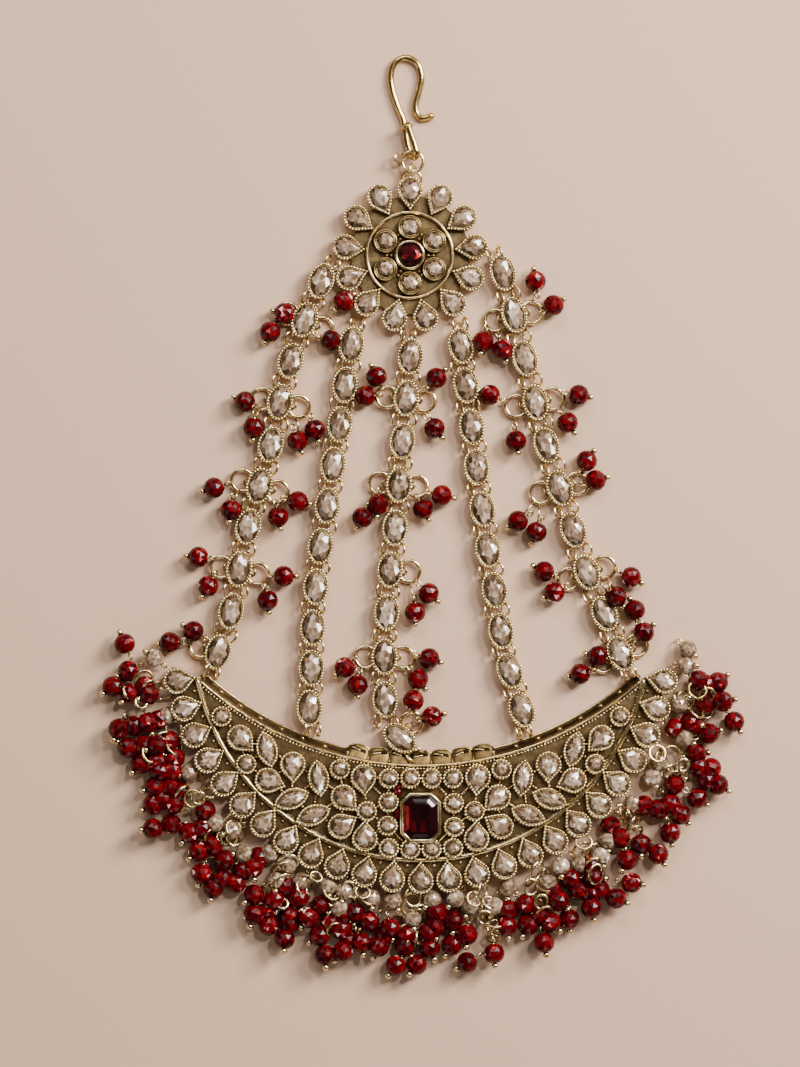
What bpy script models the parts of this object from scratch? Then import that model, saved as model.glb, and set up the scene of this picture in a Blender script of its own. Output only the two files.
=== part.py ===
"""Jhoomar: a side-of-head ornament of stone-set antique gold, lying on its back.

A round medallion hangs from a wire hook. Five strands of oval settings fan out below it and
carry a crescent, whose outer edge is fringed with bunches of red beads. Red beads also hang
in pairs on rings beside the strands.

The frame: origin at the centre of the medallion's back face, +X right and +Y towards the
hook as the front is seen, +Z out of the front. Everything lies on z = 0. Units are metres.
"""
import math

import bmesh
import bpy
from mathutils import Matrix, Vector

MM = 0.001

# Clearances
GAP = 0.3 * MM              # between pieces that touch on the real one
LINK_GAP = 0.2 * MM         # round the wire of a link in its lug
SOLDER = 0.35 * MM          # how deep soldered metal runs into its neighbour

# Wires
HOOK_WIRE = 1.2 * MM
HOOK_RING_WIRE = 0.65 * MM
LINK_WIRE = 0.5 * MM
SIDE_RING_WIRE = 0.7 * MM
DROP_WIRE = 0.45 * MM
LUG_BAR = 0.4 * MM
RIDGE_WIRE = 0.8 * MM
RIDGE_RAISE = 0.15 * MM     # its middle above the plate's top

# Stones in their settings: sizes over the milgrain rim
FACETS = 8                  # crown facets round a stone
SETTING_RISE = 1.25 * MM    # rim above the plate that carries it
STONE_RISE = 0.75 * MM      # table above the rim
TABLE_SHARE = 0.55          # table width to stone width
OVAL_LENGTH = 6.8 * MM
OVAL_WIDTH = 4.8 * MM
OVAL_HEIGHT = 2.2 * MM
PETAL_LENGTH = 5.8 * MM
PETAL_WIDTH = 4.6 * MM
SMALL_ROUND = 4.1 * MM
EDGE_PEAR_LENGTH = 5.5 * MM
EDGE_PEAR_WIDTH = 4.7 * MM
FIELD_PEAR_LENGTH = 5.5 * MM
FIELD_PEAR_WIDTH = 4.6 * MM
MARQUISE_LENGTH = 6.3 * MM
MARQUISE_WIDTH = 3.7 * MM

# Medallion, from its centre out
DISC_THICKNESS = 1.0 * MM
MEDALLION_STONE = 4.1 * MM
BEZEL_WALL = 0.4 * MM
RING_SPACING = 0.25 * MM    # between the bezel and the rounds
RING_WIDTH = 1.15 * MM      # the band of disc between the rounds and the petals
PETAL_COUNT = 13
SMALL_COUNT = 6

# Hook: its path as shares of its length and of its loop's width, from the eye's end
HOOK_LENGTH = 16.8 * MM
HOOK_LOOP = 5.4 * MM
EYE_LENGTH = 5.0 * MM
EYE_OPENING = 1.6 * MM
EYE_TURN = math.radians(65)     # the eye's plane, turned out of the hook's plane
EYE_LEAN = 16                   # degrees that it leans left of +Y
EYE_LEG = 0.3                   # its straight leg, as a share of its length
EYE_REST = 0.15 * MM            # its bend above the floor
EYE_FOLD = 0.55                 # its wire's free end, as a share of its half width
TAIL_BALL = 1.5 * MM
HOOK_RING = 4.4 * MM
HOOK_ASIDE = 0.5 * MM           # right of the medallion's middle
HOOK_SHAPE = (
    # across, along
    (-0.30, 0.32),
    (-0.52, 0.50),
    (-0.69, 0.68),
    (-0.73, 0.82),
    (-0.60, 0.95),
    (-0.23, 1.01),
    (0.14, 0.95),
    (0.30, 0.80),
    (0.18, 0.62),
    (0.12, 0.48),
    (0.28, 0.38),
    (0.66, 0.365),
)

# Strands: a route has a few chosen points in millimetres, from its first setting's centre to
# its last one's. lean turns the last setting. top and foot place its end rings, as shares of
# half the setting's width, to the right seen from above. rings says which sides have beads.
OVAL_COUNT = 10
JOINT_WIDTH = 1.4 * MM      # the flat link between two settings
END_RING = 2.3 * MM
LUG_LEG = 2.6 * MM
LUG_FOOT = 0.75 * MM         # how high the legs end, within the metal that they are soldered to
STRANDS = (
    dict(route=((-15.9, -4.5), (-21.4, -18.7), (-25.0, -34.3), (-29.1, -49.2), (-32.1, -64.0),
                (-34.4, -71.3)),
         lean=0, top=0.3, foot=0.0),
    dict(route=((-10.5, -15.9), (-12.8, -31.0), (-15.0, -45.8), (-17.1, -60.5), (-17.8, -74.8),
                (-18.0, -81.4)),
         lean=0, top=0.2, foot=0.3),
    dict(route=((0.0, -18.0), (-1.5, -34.2), (-2.8, -50.1), (-4.3, -65.0), (-4.4, -80.6), (-1.8, -86.7)),
         lean=-26, top=-0.3, foot=-0.2),
    dict(route=((9.0, -16.1), (11.0, -31.0), (13.0, -46.3), (16.4, -68.6), (17.9, -75.0), (20.0, -81.7)),
         lean=0, top=0.2, foot=-0.3),
    dict(route=((16.7, -3.1), (20.7, -19.3), (24.6, -34.4), (31.8, -57.2), (34.8, -64.4), (37.8, -71.6)),
         lean=0, top=-0.3, foot=0.0),
)

# Side rings and the red beads by each one. The directions are in degrees from +X towards +Y; a
# reach of 1 is a bead's closest place to its ring.
SIDE_RING = 4.6 * MM
SIDE_RING_REACH = 3.35 * MM     # from the setting's centre to the ring's
RED_BEAD = 3.7 * MM
BEAD_SIDES = 10
BEAD_FULLNESS = 1.1             # a faceted bead's girth to its height
BEAD_TOUCH = 0.86 * RED_BEAD    # between the centres of two beads that touch
BEAD_OVER_RING = 0.42 * RED_BEAD    # a bead's reach towards a low ring's side
DROP_SPREAD = 1.5 * RED_BEAD    # beads further apart than this keep a wire between them
DROPS = (
    # strand, setting, side (-1 left), first direction, first reach, second direction, reach
    (1, 2, -1, 180, 1.0, 235, 1.2),
    (1, 2, 1, 61, 1.05),
    (1, 4, -1, 185, 1.0, 243, 1.3),
    (1, 4, 1, 300, 1.0, 268, 1.5),
    (1, 6, -1, 193, 1.1, 246, 1.3),
    (1, 6, 1, 332, 1.0, 271, 1.1),
    (1, 8, -1, 164, 1.1, 235, 1.1),
    (1, 8, 1, 358, 1.0, 290, 1.1),
    (1, 10, -1, 170, 1.2, 115, 1.1),
    (3, 2, -1, 97, 1.1, 130, 1.0),
    (3, 2, 1, 66, 1.1, 289, 1.1),
    (3, 4, -1, 195, 1.0, 241, 1.3),
    (3, 4, 1, 340, 1.1, 282, 1.0),
    (3, 6, 1, 319, 1.1, 281, 1.6),
    (3, 8, -1, 195, 1.1, 240, 1.1),
    (3, 8, 1, 2, 1.1, 305, 1.0),
    (3, 10, 1, 97, 1.1, 41, 1.0),
    (5, 2, -1, 243, 1.0, 261, 1.66),
    (5, 2, 1, 88, 1.3, 22, 1.0),
    (5, 4, -1, 146, 1.2, 270, 1.2),
    (5, 4, 1, 9, 1.1, 303, 1.2),
    (5, 6, -1, 230, 1.05, 268, 1.3),
    (5, 6, 1, 57, 1.1, 6, 1.0),
    (5, 8, -1, 155, 1.2, 215, 1.0),
    (5, 8, 1, 337, 1.4, 300, 1.4),
    (5, 10, -1, 150, 1.0, 207, 1.1),
    (5, 10, 1, 95, 1.3, 45, 1.0),
)

# Crescent: two circles, the plate's inner edge and the ridge with the outer row round it
INNER_MIDDLE = Vector((1.9 * MM, -91.6 * MM))   # the inner edge at its middle, by the strands' ends
EDGE_ROW_COUNT = 25
EDGE_TIP_GAP = 0.15 * MM        # from the ridge to the tips of the outer row's pears
EDGE_PEAR_SPACING = 0.3 * MM
RIDGE_RADIUS = 40.9 * MM
INNER_RADIUS = 59.0 * MM
FIELD_DEPTH = 16.9 * MM         # from the plate's inner edge to the ridge, at the middle
BODY_HEIGHT = 2.3 * MM
PLATE = 0.9 * MM
WALL = 0.9 * MM
FLARE = 1.6 * MM                # how far the gallery's foot stands out
HOLLOW_SHARE = 0.93             # how far the hollow runs towards the crescent's tips
HOLLOW_STEPS = 8                # straight stretches in each half of it
ARC_STEPS = 20                  # straight stretches in the crescent's long arcs

# The field's stones on its right half, mirrored on the left. turn is in degrees from straight
# down about CRESCENT_PLACE, depth is a share of FIELD_DEPTH inside the ridge, and point is
# where the stone's tip shows, in degrees from +X towards +Y.
FIELD = (
    # kind, turn, depth, point
    ("pear", 59.7, 0.202, 225),
    ("pear", 44.0, 0.471, 268),
    ("pear", 45.9, 0.162, 200),
    ("pear", 25.1, 0.487, 225),
    ("pear", 22.4, 0.192, 150),
    ("pear", 21.5, 0.767, 265),
    ("pear", 15.1, 0.151, 90),
    ("marquise", 52.6, 0.373, 75),
    ("marquise", 37.7, 0.186, -20),
    ("marquise", 34.9, 0.532, 83),
    ("marquise", 30.4, 0.169, -21),
)

# Emerald-cut stone at the middle
OCTAGON_WIDTH = 6.3 * MM
OCTAGON_LENGTH = 7.9 * MM
OCTAGON_CORNER = 1.4 * MM
OCTAGON_DEPTH = 0.455           # share of FIELD_DEPTH inside the ridge
OCTAGON_BEZEL = 0.45 * MM
OCTAGON_RISE = 1.6 * MM         # bezel above the plate
OCTAGON_TABLE = 0.9 * MM        # table above the bezel
OCTAGON_GIRDLE = 0.2 * MM       # below the bezel's rim
OCTAGON_STEPS = ((0.6, 0.85), (1.0, 0.62))  # its steps: share of the table's height, of its size

# Bunches of red beads that touch, one behind the other outwards from the outer row
BUNCHES = (
    # pears of the outer row from its middle, then how far each further bead leans off straight out
    (-12.4, -35, 20),
    (-10.5, 30, -25),
    (-8.45, -30, 35),
    (-6.2, 35, -20),
    (-4.15, -35, 25),
    (-2.55, 25, 20),
    (-1.2, -20, 25, -15),
    (0.1, 25, -20, 15),
    (1.4, -25, 15, -10),
    (2.7, 30, -20, 25),
    (4.05, -25, 30),
    (5.45, 30, -25),
    (7.4, -35, 20),
    (9.5, 25, -35),
    (11.6, -30, 30, -25),
)

# Rosette radii, worked out from the centre
BEZEL_RADIUS = MEDALLION_STONE / 2 + GAP + BEZEL_WALL
SMALL_RADIUS = BEZEL_RADIUS + RING_SPACING + SMALL_ROUND / 2
PETAL_TIPS = SMALL_RADIUS + SMALL_ROUND / 2 + RING_WIDTH
PETAL_RADIUS = PETAL_TIPS + PETAL_LENGTH - PETAL_WIDTH / 2
DISC_RADIUS = PETAL_RADIUS
MEDALLION_EDGE = PETAL_RADIUS + PETAL_WIDTH / 2

# Crescent places, worked out from its circles. The outer row's radius is at its pears' widest.
CRESCENT_PLACE = INNER_MIDDLE + Vector((0, RIDGE_RADIUS - FIELD_DEPTH))
INNER_PLACE = INNER_MIDDLE + Vector((0, INNER_RADIUS))
EDGE_TIP_RADIUS = RIDGE_RADIUS + RIDGE_WIRE / 2 + EDGE_TIP_GAP
EDGE_ROW_RADIUS = EDGE_TIP_RADIUS + EDGE_PEAR_LENGTH - EDGE_PEAR_WIDTH / 2
EDGE_ROW_STEP = (EDGE_PEAR_WIDTH + EDGE_PEAR_SPACING) / EDGE_ROW_RADIUS
EDGE_ROW_END = EDGE_ROW_RADIUS + EDGE_PEAR_WIDTH / 2
BODY_RADIUS = EDGE_ROW_RADIUS + EDGE_PEAR_SPACING
BODY_END = EDGE_ROW_STEP * EDGE_ROW_COUNT / 2
RIM_TOP = BODY_HEIGHT + SETTING_RISE
OCTAGON_PLACE = CRESCENT_PLACE - Vector((0, RIDGE_RADIUS - OCTAGON_DEPTH * FIELD_DEPTH))

COLOURS = {
    "antique_gold": ((0.62, 0.50, 0.32), 0.35, 1.0),
    "polished_gold": ((0.75, 0.58, 0.28), 0.2, 1.0),
    "red_crystal": ((0.25, 0.01, 0.02), 0.1, 0.0),
    "garnet_glass": ((0.12, 0.01, 0.01), 0.08, 0.0),
}


def clear_scene():
    for item in list(bpy.data.objects):
        bpy.data.objects.remove(item)


def new_collection(name):
    collection = bpy.data.collections.new(name)
    bpy.context.scene.collection.children.link(collection)
    return collection


def material(name):
    found = bpy.data.materials.get(name)
    if found:
        return found
    made = bpy.data.materials.new(name)
    made.use_nodes = True
    colour, roughness, metallic = COLOURS[name]
    shader = made.node_tree.nodes["Principled BSDF"]
    shader.inputs["Base Color"].default_value = (*colour, 1.0)
    shader.inputs["Roughness"].default_value = roughness
    shader.inputs["Metallic"].default_value = metallic
    made.diffuse_color = (*colour, 1.0)
    return made


def add_object(shape, name, finish):
    """Turn a bmesh into a named object of the model."""
    mesh = bpy.data.meshes.new(name)
    shape.to_mesh(mesh)
    shape.free()
    mesh.materials.append(material(finish))
    item = bpy.data.objects.new(name, mesh)
    PARTS.objects.link(item)
    return item


def combine(item, shape, operation, crossing=False):
    """Join a bmesh to an object, or cut it out, with a Boolean modifier."""
    label = item.name + "_" + operation.lower() + str(len(item.modifiers))
    mesh = bpy.data.meshes.new(label)
    shape.to_mesh(mesh)
    shape.free()
    tool = bpy.data.objects.new(label, mesh)
    CUTTERS.objects.link(tool)
    tool.hide_render = True
    tool.display_type = "WIRE"
    step = item.modifiers.new(label, "BOOLEAN")
    step.operation = operation
    step.solver = "EXACT"
    step.use_self = crossing
    step.object = tool


def merge(shapes):
    """Gather several bmeshes into the first of them."""
    shapes = list(shapes)
    first = shapes[0]
    for shape in shapes[1:]:
        mesh = bpy.data.meshes.new("merge")
        shape.to_mesh(mesh)
        shape.free()
        first.from_mesh(mesh)
        bpy.data.meshes.remove(mesh)
    return first


def place(shape, spot, turn=0.0):
    """Turn a bmesh about Z and move it to a spot."""
    spot = Vector(spot).to_3d()
    shape.transform(Matrix.Translation(spot) @ Matrix.Rotation(turn, 4, "Z"))
    return shape


# Primitives

def box(size, centre=(0, 0, 0)):
    shape = bmesh.new()
    bmesh.ops.create_cube(shape, size=1.0)
    shape.transform(Matrix.Translation(centre) @ Matrix.Diagonal((*size, 1.0)))
    return shape


def drum(radius, low, high, sides):
    shape = bmesh.new()
    bmesh.ops.create_cone(shape, cap_ends=True, segments=sides, radius1=radius, radius2=radius,
                          depth=high - low)
    shape.transform(Matrix.Translation((0, 0, (low + high) / 2)))
    return shape


def bead(diameter):
    """A faceted ball with two rings of corners, standing on its lower pole."""
    shape = bmesh.new()
    bmesh.ops.create_uvsphere(shape, u_segments=BEAD_SIDES, v_segments=3, radius=diameter / 2)
    widen = Matrix.Diagonal((BEAD_FULLNESS, BEAD_FULLNESS, 1, 1))
    shape.transform(Matrix.Translation((0, 0, diameter / 2)) @ widen)
    return shape


def ring(outer, wire, spot, upright=None, sides=10, wire_sides=5):
    """A jump ring, flat or, where upright gives its direction in plan, standing on edge."""
    bpy.ops.mesh.primitive_torus_add(major_segments=sides, minor_segments=wire_sides,
                                     major_radius=(outer - wire) / 2, minor_radius=wire / 2)
    item = bpy.context.object
    shape = bmesh.new()
    shape.from_mesh(item.data)
    bpy.data.objects.remove(item)
    if upright is not None:
        shape.transform(Matrix.Rotation(math.pi / 2, 4, "X"))
        return place(shape, spot, upright)
    return place(shape, spot)


def tube(routes, diameter, resolution=0, smooth=1):
    """Wires along one or more routes: a curve made into a mesh with closed ends."""
    curve = bpy.data.curves.new("wire", "CURVE")
    curve.dimensions = "3D"
    curve.bevel_depth = diameter / 2
    curve.bevel_resolution = resolution
    curve.use_fill_caps = True
    for route in routes:
        if smooth > 1:
            spline = curve.splines.new("BEZIER")
            spline.bezier_points.add(len(route) - 1)
            spline.resolution_u = smooth
            for point, spot in zip(spline.bezier_points, route):
                point.co = spot
                point.handle_left_type = "AUTO"
                point.handle_right_type = "AUTO"
        else:
            spline = curve.splines.new("POLY")
            spline.points.add(len(route) - 1)
            for point, spot in zip(spline.points, route):
                point.co = (*spot, 1.0)
    item = bpy.data.objects.new("wire", curve)
    PARTS.objects.link(item)
    bpy.context.view_layer.update()
    seen = item.evaluated_get(bpy.context.evaluated_depsgraph_get())
    mesh = bpy.data.meshes.new_from_object(seen)
    shape = bmesh.new()
    shape.from_mesh(mesh)
    bmesh.ops.remove_doubles(shape, verts=shape.verts, dist=0.001 * MM)
    bpy.data.objects.remove(item)
    bpy.data.meshes.remove(mesh)
    return shape


def loft(sections):
    """A closed solid through rings of equally many points."""
    shape = bmesh.new()
    rings = [[shape.verts.new(point) for point in section] for section in sections]
    for lower, upper in zip(rings, rings[1:]):
        for i, corner in enumerate(lower):
            j = (i + 1) % len(lower)
            shape.faces.new((corner, lower[j], upper[j], upper[i]))
    shape.faces.new(reversed(rings[0]))
    shape.faces.new(rings[-1])
    return shape


# Outlines, counterclockwise about the origin, long way along +X

def round_outline(diameter):
    step = math.tau / FACETS
    return [Vector((math.cos(i * step), math.sin(i * step))) * diameter / 2 for i in range(FACETS)]


def oval_outline(length, width):
    step = math.tau / FACETS
    return [Vector((math.cos((i + 0.5) * step) * length / 2, math.sin((i + 0.5) * step) * width / 2))
            / math.cos(step / 2) ** 0.5 for i in range(FACETS)]


def pear_outline(length, width):
    """A round end about the origin and a tip at +X, on the two tangents."""
    bulge = width / 2
    tip = length - bulge
    tangent = math.acos(min(bulge / tip, 1.0))
    steps = FACETS - 2
    span = math.tau - 2 * tangent
    turns = [tangent + span * i / steps for i in range(steps + 1)]
    return [Vector((tip, 0))] + [Vector((math.cos(t), math.sin(t))) * bulge for t in turns]


def marquise_outline(length, width):
    """Two equal arcs that meet in tips on the X axis."""
    radius = (length ** 2 + width ** 2) / (4 * width)
    half = math.asin(length / 2 / radius)
    steps = FACETS // 2
    side = [Vector((radius * math.sin(half - 2 * half * i / steps),
                    radius * math.cos(half - 2 * half * i / steps) - radius + width / 2))
            for i in range(steps)]
    return side + [-corner for corner in side]


def octagon_outline(width, length, corner):
    x, y, cut = width / 2, length / 2, corner
    return [Vector(p) for p in ((x, -y + cut), (x, y - cut), (x - cut, y), (-x + cut, y),
                                (-x, y - cut), (-x, -y + cut), (-x + cut, -y), (x - cut, -y))]


def at_height(outline, height, share=1.0):
    return [(corner * share).to_3d() + Vector((0, 0, height)) for corner in outline]


def setting(outline, foot, rim):
    """A stone in its setting as one solid: wall up to the rim, crown facets, table."""
    return loft((at_height(outline, foot), at_height(outline, rim),
                 at_height(outline, rim + STONE_RISE, TABLE_SHARE)))


def low_setting(outline, foot, rim):
    """A small stone in its setting, with crown facets that run down into the plate."""
    return loft((at_height(outline, foot), at_height(outline, rim + STONE_RISE, TABLE_SHARE)))


def lug(ring_spot, direction):
    """A staple through a strand's end ring: a bar, and two legs that slope down outwards."""
    bar = END_RING / 2 - LINK_WIRE - LINK_GAP - LUG_BAR / 2
    half = LINK_WIRE / 2 + LINK_GAP + LUG_BAR / 2
    height = END_RING / 2 + LINK_GAP
    route = [Vector((bar + LUG_LEG, half, LUG_FOOT)), Vector((bar, half, height)),
             Vector((bar, -half, height)), Vector((bar + LUG_LEG, -half, LUG_FOOT))]
    return place(tube([route], LUG_BAR), ring_spot, direction)


# Strands

class Place:
    """A setting's centre and the direction of the strand there, from the top down."""

    def __init__(self, spot, direction):
        self.spot = spot
        self.direction = direction

    def point(self, along, across=0.0):
        ahead = Vector((math.cos(self.direction), math.sin(self.direction)))
        return self.spot + ahead * along + Vector((-ahead.y, ahead.x)) * across


def spline_point(points, t):
    """A Catmull-Rom curve through the points, t from 0 to their number less 1."""
    i = min(int(t), len(points) - 2)
    f = t - i
    p1, p2 = points[i], points[i + 1]
    p0 = points[i - 1] if i else 2 * p1 - p2
    p3 = points[i + 2] if i + 2 < len(points) else 2 * p2 - p1
    return 0.5 * (2 * p1 + (p2 - p0) * f + (2 * p0 - 5 * p1 + 4 * p2 - p3) * f ** 2
                  + (3 * p1 - p0 - 3 * p2 + p3) * f ** 3)


def strand_places(strand):
    """The settings' places, evenly along the strand's route."""
    points = [Vector(p) * MM for p in strand["route"]]
    samples = 400
    path = [spline_point(points, (len(points) - 1) * i / samples) for i in range(samples + 1)]
    lengths = [0.0]
    for start, end in zip(path, path[1:]):
        lengths.append(lengths[-1] + (end - start).length)
    places = []
    for n in range(OVAL_COUNT):
        wanted = lengths[-1] * n / (OVAL_COUNT - 1)
        i = min(max(sum(length < wanted for length in lengths), 1), samples - 1)
        ahead = path[i + 1] - path[i - 1]
        places.append(Place(path[i], math.atan2(ahead.y, ahead.x)))
    places[-1].direction -= math.radians(strand["lean"])
    return places


def end_ring_spot(place_at, shift, end):
    """Where the ring at a strand's end stands: end is -1 at the top and 1 at the foot."""
    across = shift * OVAL_WIDTH / 2
    oval_end = OVAL_LENGTH / 2 * math.sqrt(1 - shift ** 2)
    return place_at.point(end * (oval_end + END_RING / 2 - SOLDER - LINK_WIRE / 2), across)


def end_rings(strand):
    """Spot and outward direction of the top ring and the foot ring."""
    places = strand_places(strand)
    first, last = places[0], places[-1]
    return ((end_ring_spot(first, strand["top"], -1), first.direction + math.pi),
            (end_ring_spot(last, strand["foot"], 1), last.direction))


def side_ring_spot(place_at, side):
    """The centre of the ring on a setting's side; the strand runs down, so left is -across."""
    return place_at.point(0.0, side * SIDE_RING_REACH)


def joint_links(places):
    """A flat link from each setting to the next one."""
    links = []
    for here, after in zip(places, places[1:]):
        start = here.point(OVAL_LENGTH / 2 - SOLDER)
        end = after.point(SOLDER - OVAL_LENGTH / 2)
        ahead = end - start
        link = box((ahead.length, JOINT_WIDTH, LINK_WIRE))
        middle = ((start + end) / 2).to_3d() + Vector((0, 0, OVAL_HEIGHT / 2))
        links.append(place(link, middle, math.atan2(ahead.y, ahead.x)))
    return merge(links)


def build_strand(number, strand):
    places = strand_places(strand)
    outline = oval_outline(OVAL_LENGTH, OVAL_WIDTH)
    item = add_object(merge(place(setting(outline, 0.0, OVAL_HEIGHT), p.spot, p.direction) for p in places),
                      "strand_%d" % number, "antique_gold")
    metal = [joint_links(places)]
    for strand_number, n, side, *_ in DROPS:
        if strand_number == number:
            spot = side_ring_spot(places[n - 1], side).to_3d() + Vector((0, 0, SIDE_RING_WIRE / 2))
            metal.append(ring(SIDE_RING, SIDE_RING_WIRE, spot))
    for spot, direction in end_rings(strand):
        spot = spot.to_3d() + Vector((0, 0, END_RING / 2 + LINK_GAP))
        metal.append(ring(END_RING, LINK_WIRE, spot, upright=direction))
    combine(item, merge(metal), "UNION", crossing=True)


def heading(degrees):
    return Vector((math.cos(math.radians(degrees)), math.sin(math.radians(degrees))))


def build_drop(number, row):
    """The red beads by a side ring. Where two lie apart, a wire over the ring joins them."""
    strand_number, n, side, *beads = row
    centre = side_ring_spot(strand_places(STRANDS[strand_number - 1])[n - 1], side)
    closest = SIDE_RING / 2 + GAP + BEAD_OVER_RING
    spots = [centre + heading(turn) * closest * reach for turn, reach in zip(beads[::2], beads[1::2])]
    item = add_object(place(bead(RED_BEAD), spots[0]), "drop_%02d" % number, "red_crystal")
    if len(spots) == 1:
        return
    apart = spots[1] - spots[0]
    touching = apart.length < DROP_SPREAD
    if touching:
        spots[1] = spots[0] + apart.normalized() * BEAD_TOUCH
    combine(item, place(bead(RED_BEAD), spots[1]), "UNION")
    if not touching:
        combine(item, drop_wire(centre, spots), "UNION", crossing=True)


def drop_wire(centre, spots):
    """A wire between two beads' middles that dips over their ring, clear of it."""
    inward = sum(((spot - centre).normalized() for spot in spots), Vector((0, 0)))
    dip = centre + inward * SIDE_RING_WIRE / 2
    middle = RED_BEAD / 2
    clear = SIDE_RING_WIRE + GAP + DROP_WIRE / 2
    lows = []
    for spot in spots:
        crossing = (SIDE_RING / 2 - (dip - centre).length) / (spot - dip).length
        lows.append((clear - crossing * middle) / (1 - crossing))
    lift = [Vector((0, 0, height)) for height in (middle, max(lows), middle)]
    return tube([[spot.to_3d() + up for spot, up in zip((spots[0], dip, spots[1]), lift)]], DROP_WIRE)


# Medallion and hook

def build_medallion():
    item = add_object(drum(DISC_RADIUS, 0.0, DISC_THICKNESS, 2 * PETAL_COUNT), "medallion", "antique_gold")
    rim = DISC_THICKNESS + SETTING_RISE
    petal = pear_outline(PETAL_LENGTH, PETAL_WIDTH)
    small = round_outline(SMALL_ROUND)
    stones = []
    for k in range(PETAL_COUNT):
        turn = math.pi / 2 - math.tau * k / PETAL_COUNT
        spot = Vector((math.cos(turn), math.sin(turn))) * PETAL_RADIUS
        stones.append(place(setting(petal, GAP, rim), spot, turn + math.pi))
    for k in range(SMALL_COUNT):
        turn = math.pi / 2 + math.tau * k / SMALL_COUNT
        spot = Vector((math.cos(turn), math.sin(turn))) * SMALL_RADIUS
        stones.append(place(low_setting(small, DISC_THICKNESS / 2, rim), spot, turn))
    combine(item, merge(stones), "UNION", crossing=True)
    metal = [drum(BEZEL_RADIUS, DISC_THICKNESS / 2, rim, 2 * FACETS)]
    for strand in STRANDS:
        spot, direction = end_rings(strand)[0]
        metal.append(lug(spot, direction))
    metal.append(hook_lug())
    combine(item, merge(metal), "UNION", crossing=True)
    pocket = drum(MEDALLION_STONE / 2 + GAP, rim - STONE_RISE, rim + STONE_RISE, 2 * FACETS)
    combine(item, pocket, "DIFFERENCE")
    stone = setting(round_outline(MEDALLION_STONE), rim - STONE_RISE + GAP, rim)
    add_object(stone, "medallion_stone", "garnet_glass")


def eye_height():
    """The eye's middle, so that its lower wire lies just above z = 0."""
    return HOOK_WIRE / 2 + EYE_REST + (EYE_OPENING + HOOK_WIRE) / 2 * math.sin(EYE_TURN)


def hook_ring_spot():
    """The flat ring's centre, so that the top petal's lug holds its lower side."""
    return Vector((HOOK_ASIDE, MEDALLION_EDGE + LINK_GAP + GAP + HOOK_RING / 2, eye_height()))


def hook_lug():
    """A staple on edge out of the top petal, round the wire of the hook's ring."""
    spot = hook_ring_spot()
    wire = spot.y - (HOOK_RING - HOOK_RING_WIRE) / 2
    rise = HOOK_RING_WIRE / 2 + LINK_GAP + LUG_BAR / 2
    out = wire + rise
    route = [Vector((spot.x, out - LUG_LEG, spot.z + rise)), Vector((spot.x, out, spot.z + rise)),
             Vector((spot.x, out, spot.z - rise)), Vector((spot.x, out - LUG_LEG, spot.z - rise))]
    return tube([route], LUG_BAR)


def build_hook():
    ring_spot = hook_ring_spot()
    base = ring_spot + Vector((0, (HOOK_RING - HOOK_RING_WIRE) / 2, 0))
    offset = (EYE_OPENING + HOOK_WIRE) / 2
    across = Vector((math.cos(EYE_TURN), 0, math.sin(EYE_TURN)))
    along = heading(90 + EYE_LEAN).to_3d()
    bend = base + along * (offset - HOOK_RING_WIRE / 2 - GAP - HOOK_WIRE / 2)
    end_turns = [math.pi * i / 4 for i in range(5)]
    eye = [bend + across * offset * math.cos(t) - along * offset * math.sin(t) for t in end_turns]
    eye = ([bend + across * offset * EYE_FOLD + along * EYE_LENGTH] + eye
           + [bend - across * offset + along * EYE_LENGTH * EYE_LEG])
    low = Vector((base.x, base.y, HOOK_WIRE / 2))
    route = eye + [low + Vector((x * HOOK_LOOP, y * HOOK_LENGTH, 0)) for x, y in HOOK_SHAPE]
    item = add_object(tube([route], HOOK_WIRE, resolution=1, smooth=2), "hook", "polished_gold")
    combine(item, place(bead(TAIL_BALL), route[-1].to_2d()), "UNION")
    hook_ring = ring(HOOK_RING, HOOK_RING_WIRE, ring_spot, sides=14, wire_sides=6)
    add_object(hook_ring, "hook_ring", "antique_gold")


# Crescent

def on_circle(centre, radius, turn):
    """A point at a turn from straight down, to the right."""
    return centre + Vector((math.sin(turn), -math.cos(turn))) * radius


def inner_end(radius):
    """The turn about INNER_PLACE where that circle meets the ridge's circle."""
    apart = INNER_PLACE.y - CRESCENT_PLACE.y
    return math.acos((apart ** 2 + radius ** 2 - RIDGE_RADIUS ** 2) / (2 * apart * radius))


def inner_ridge_turn():
    """The turn about CRESCENT_PLACE of the ridge's ends, just inside the plate's edge."""
    tip = on_circle(INNER_PLACE, INNER_RADIUS, inner_end(INNER_RADIUS)) - CRESCENT_PLACE
    return math.atan2(tip.x, -tip.y) - RIDGE_WIRE / RIDGE_RADIUS


def crescent_outline(outer, inner, start, outer_end, inner_stop, steps):
    """Counterclockwise: the outer arc from start to its end, then the inner one back."""
    outer_start = math.asin(start / outer) if start > 0 else -outer_end
    inner_start = math.asin(start / inner) if start > 0 else -inner_stop
    lower = [on_circle(CRESCENT_PLACE, outer, outer_start + (outer_end - outer_start) * i / steps)
             for i in range(steps + 1)]
    upper = [on_circle(INNER_PLACE, inner, inner_stop + (inner_start - inner_stop) * i / steps)
             for i in range(steps + 1)]
    return lower + upper


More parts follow.
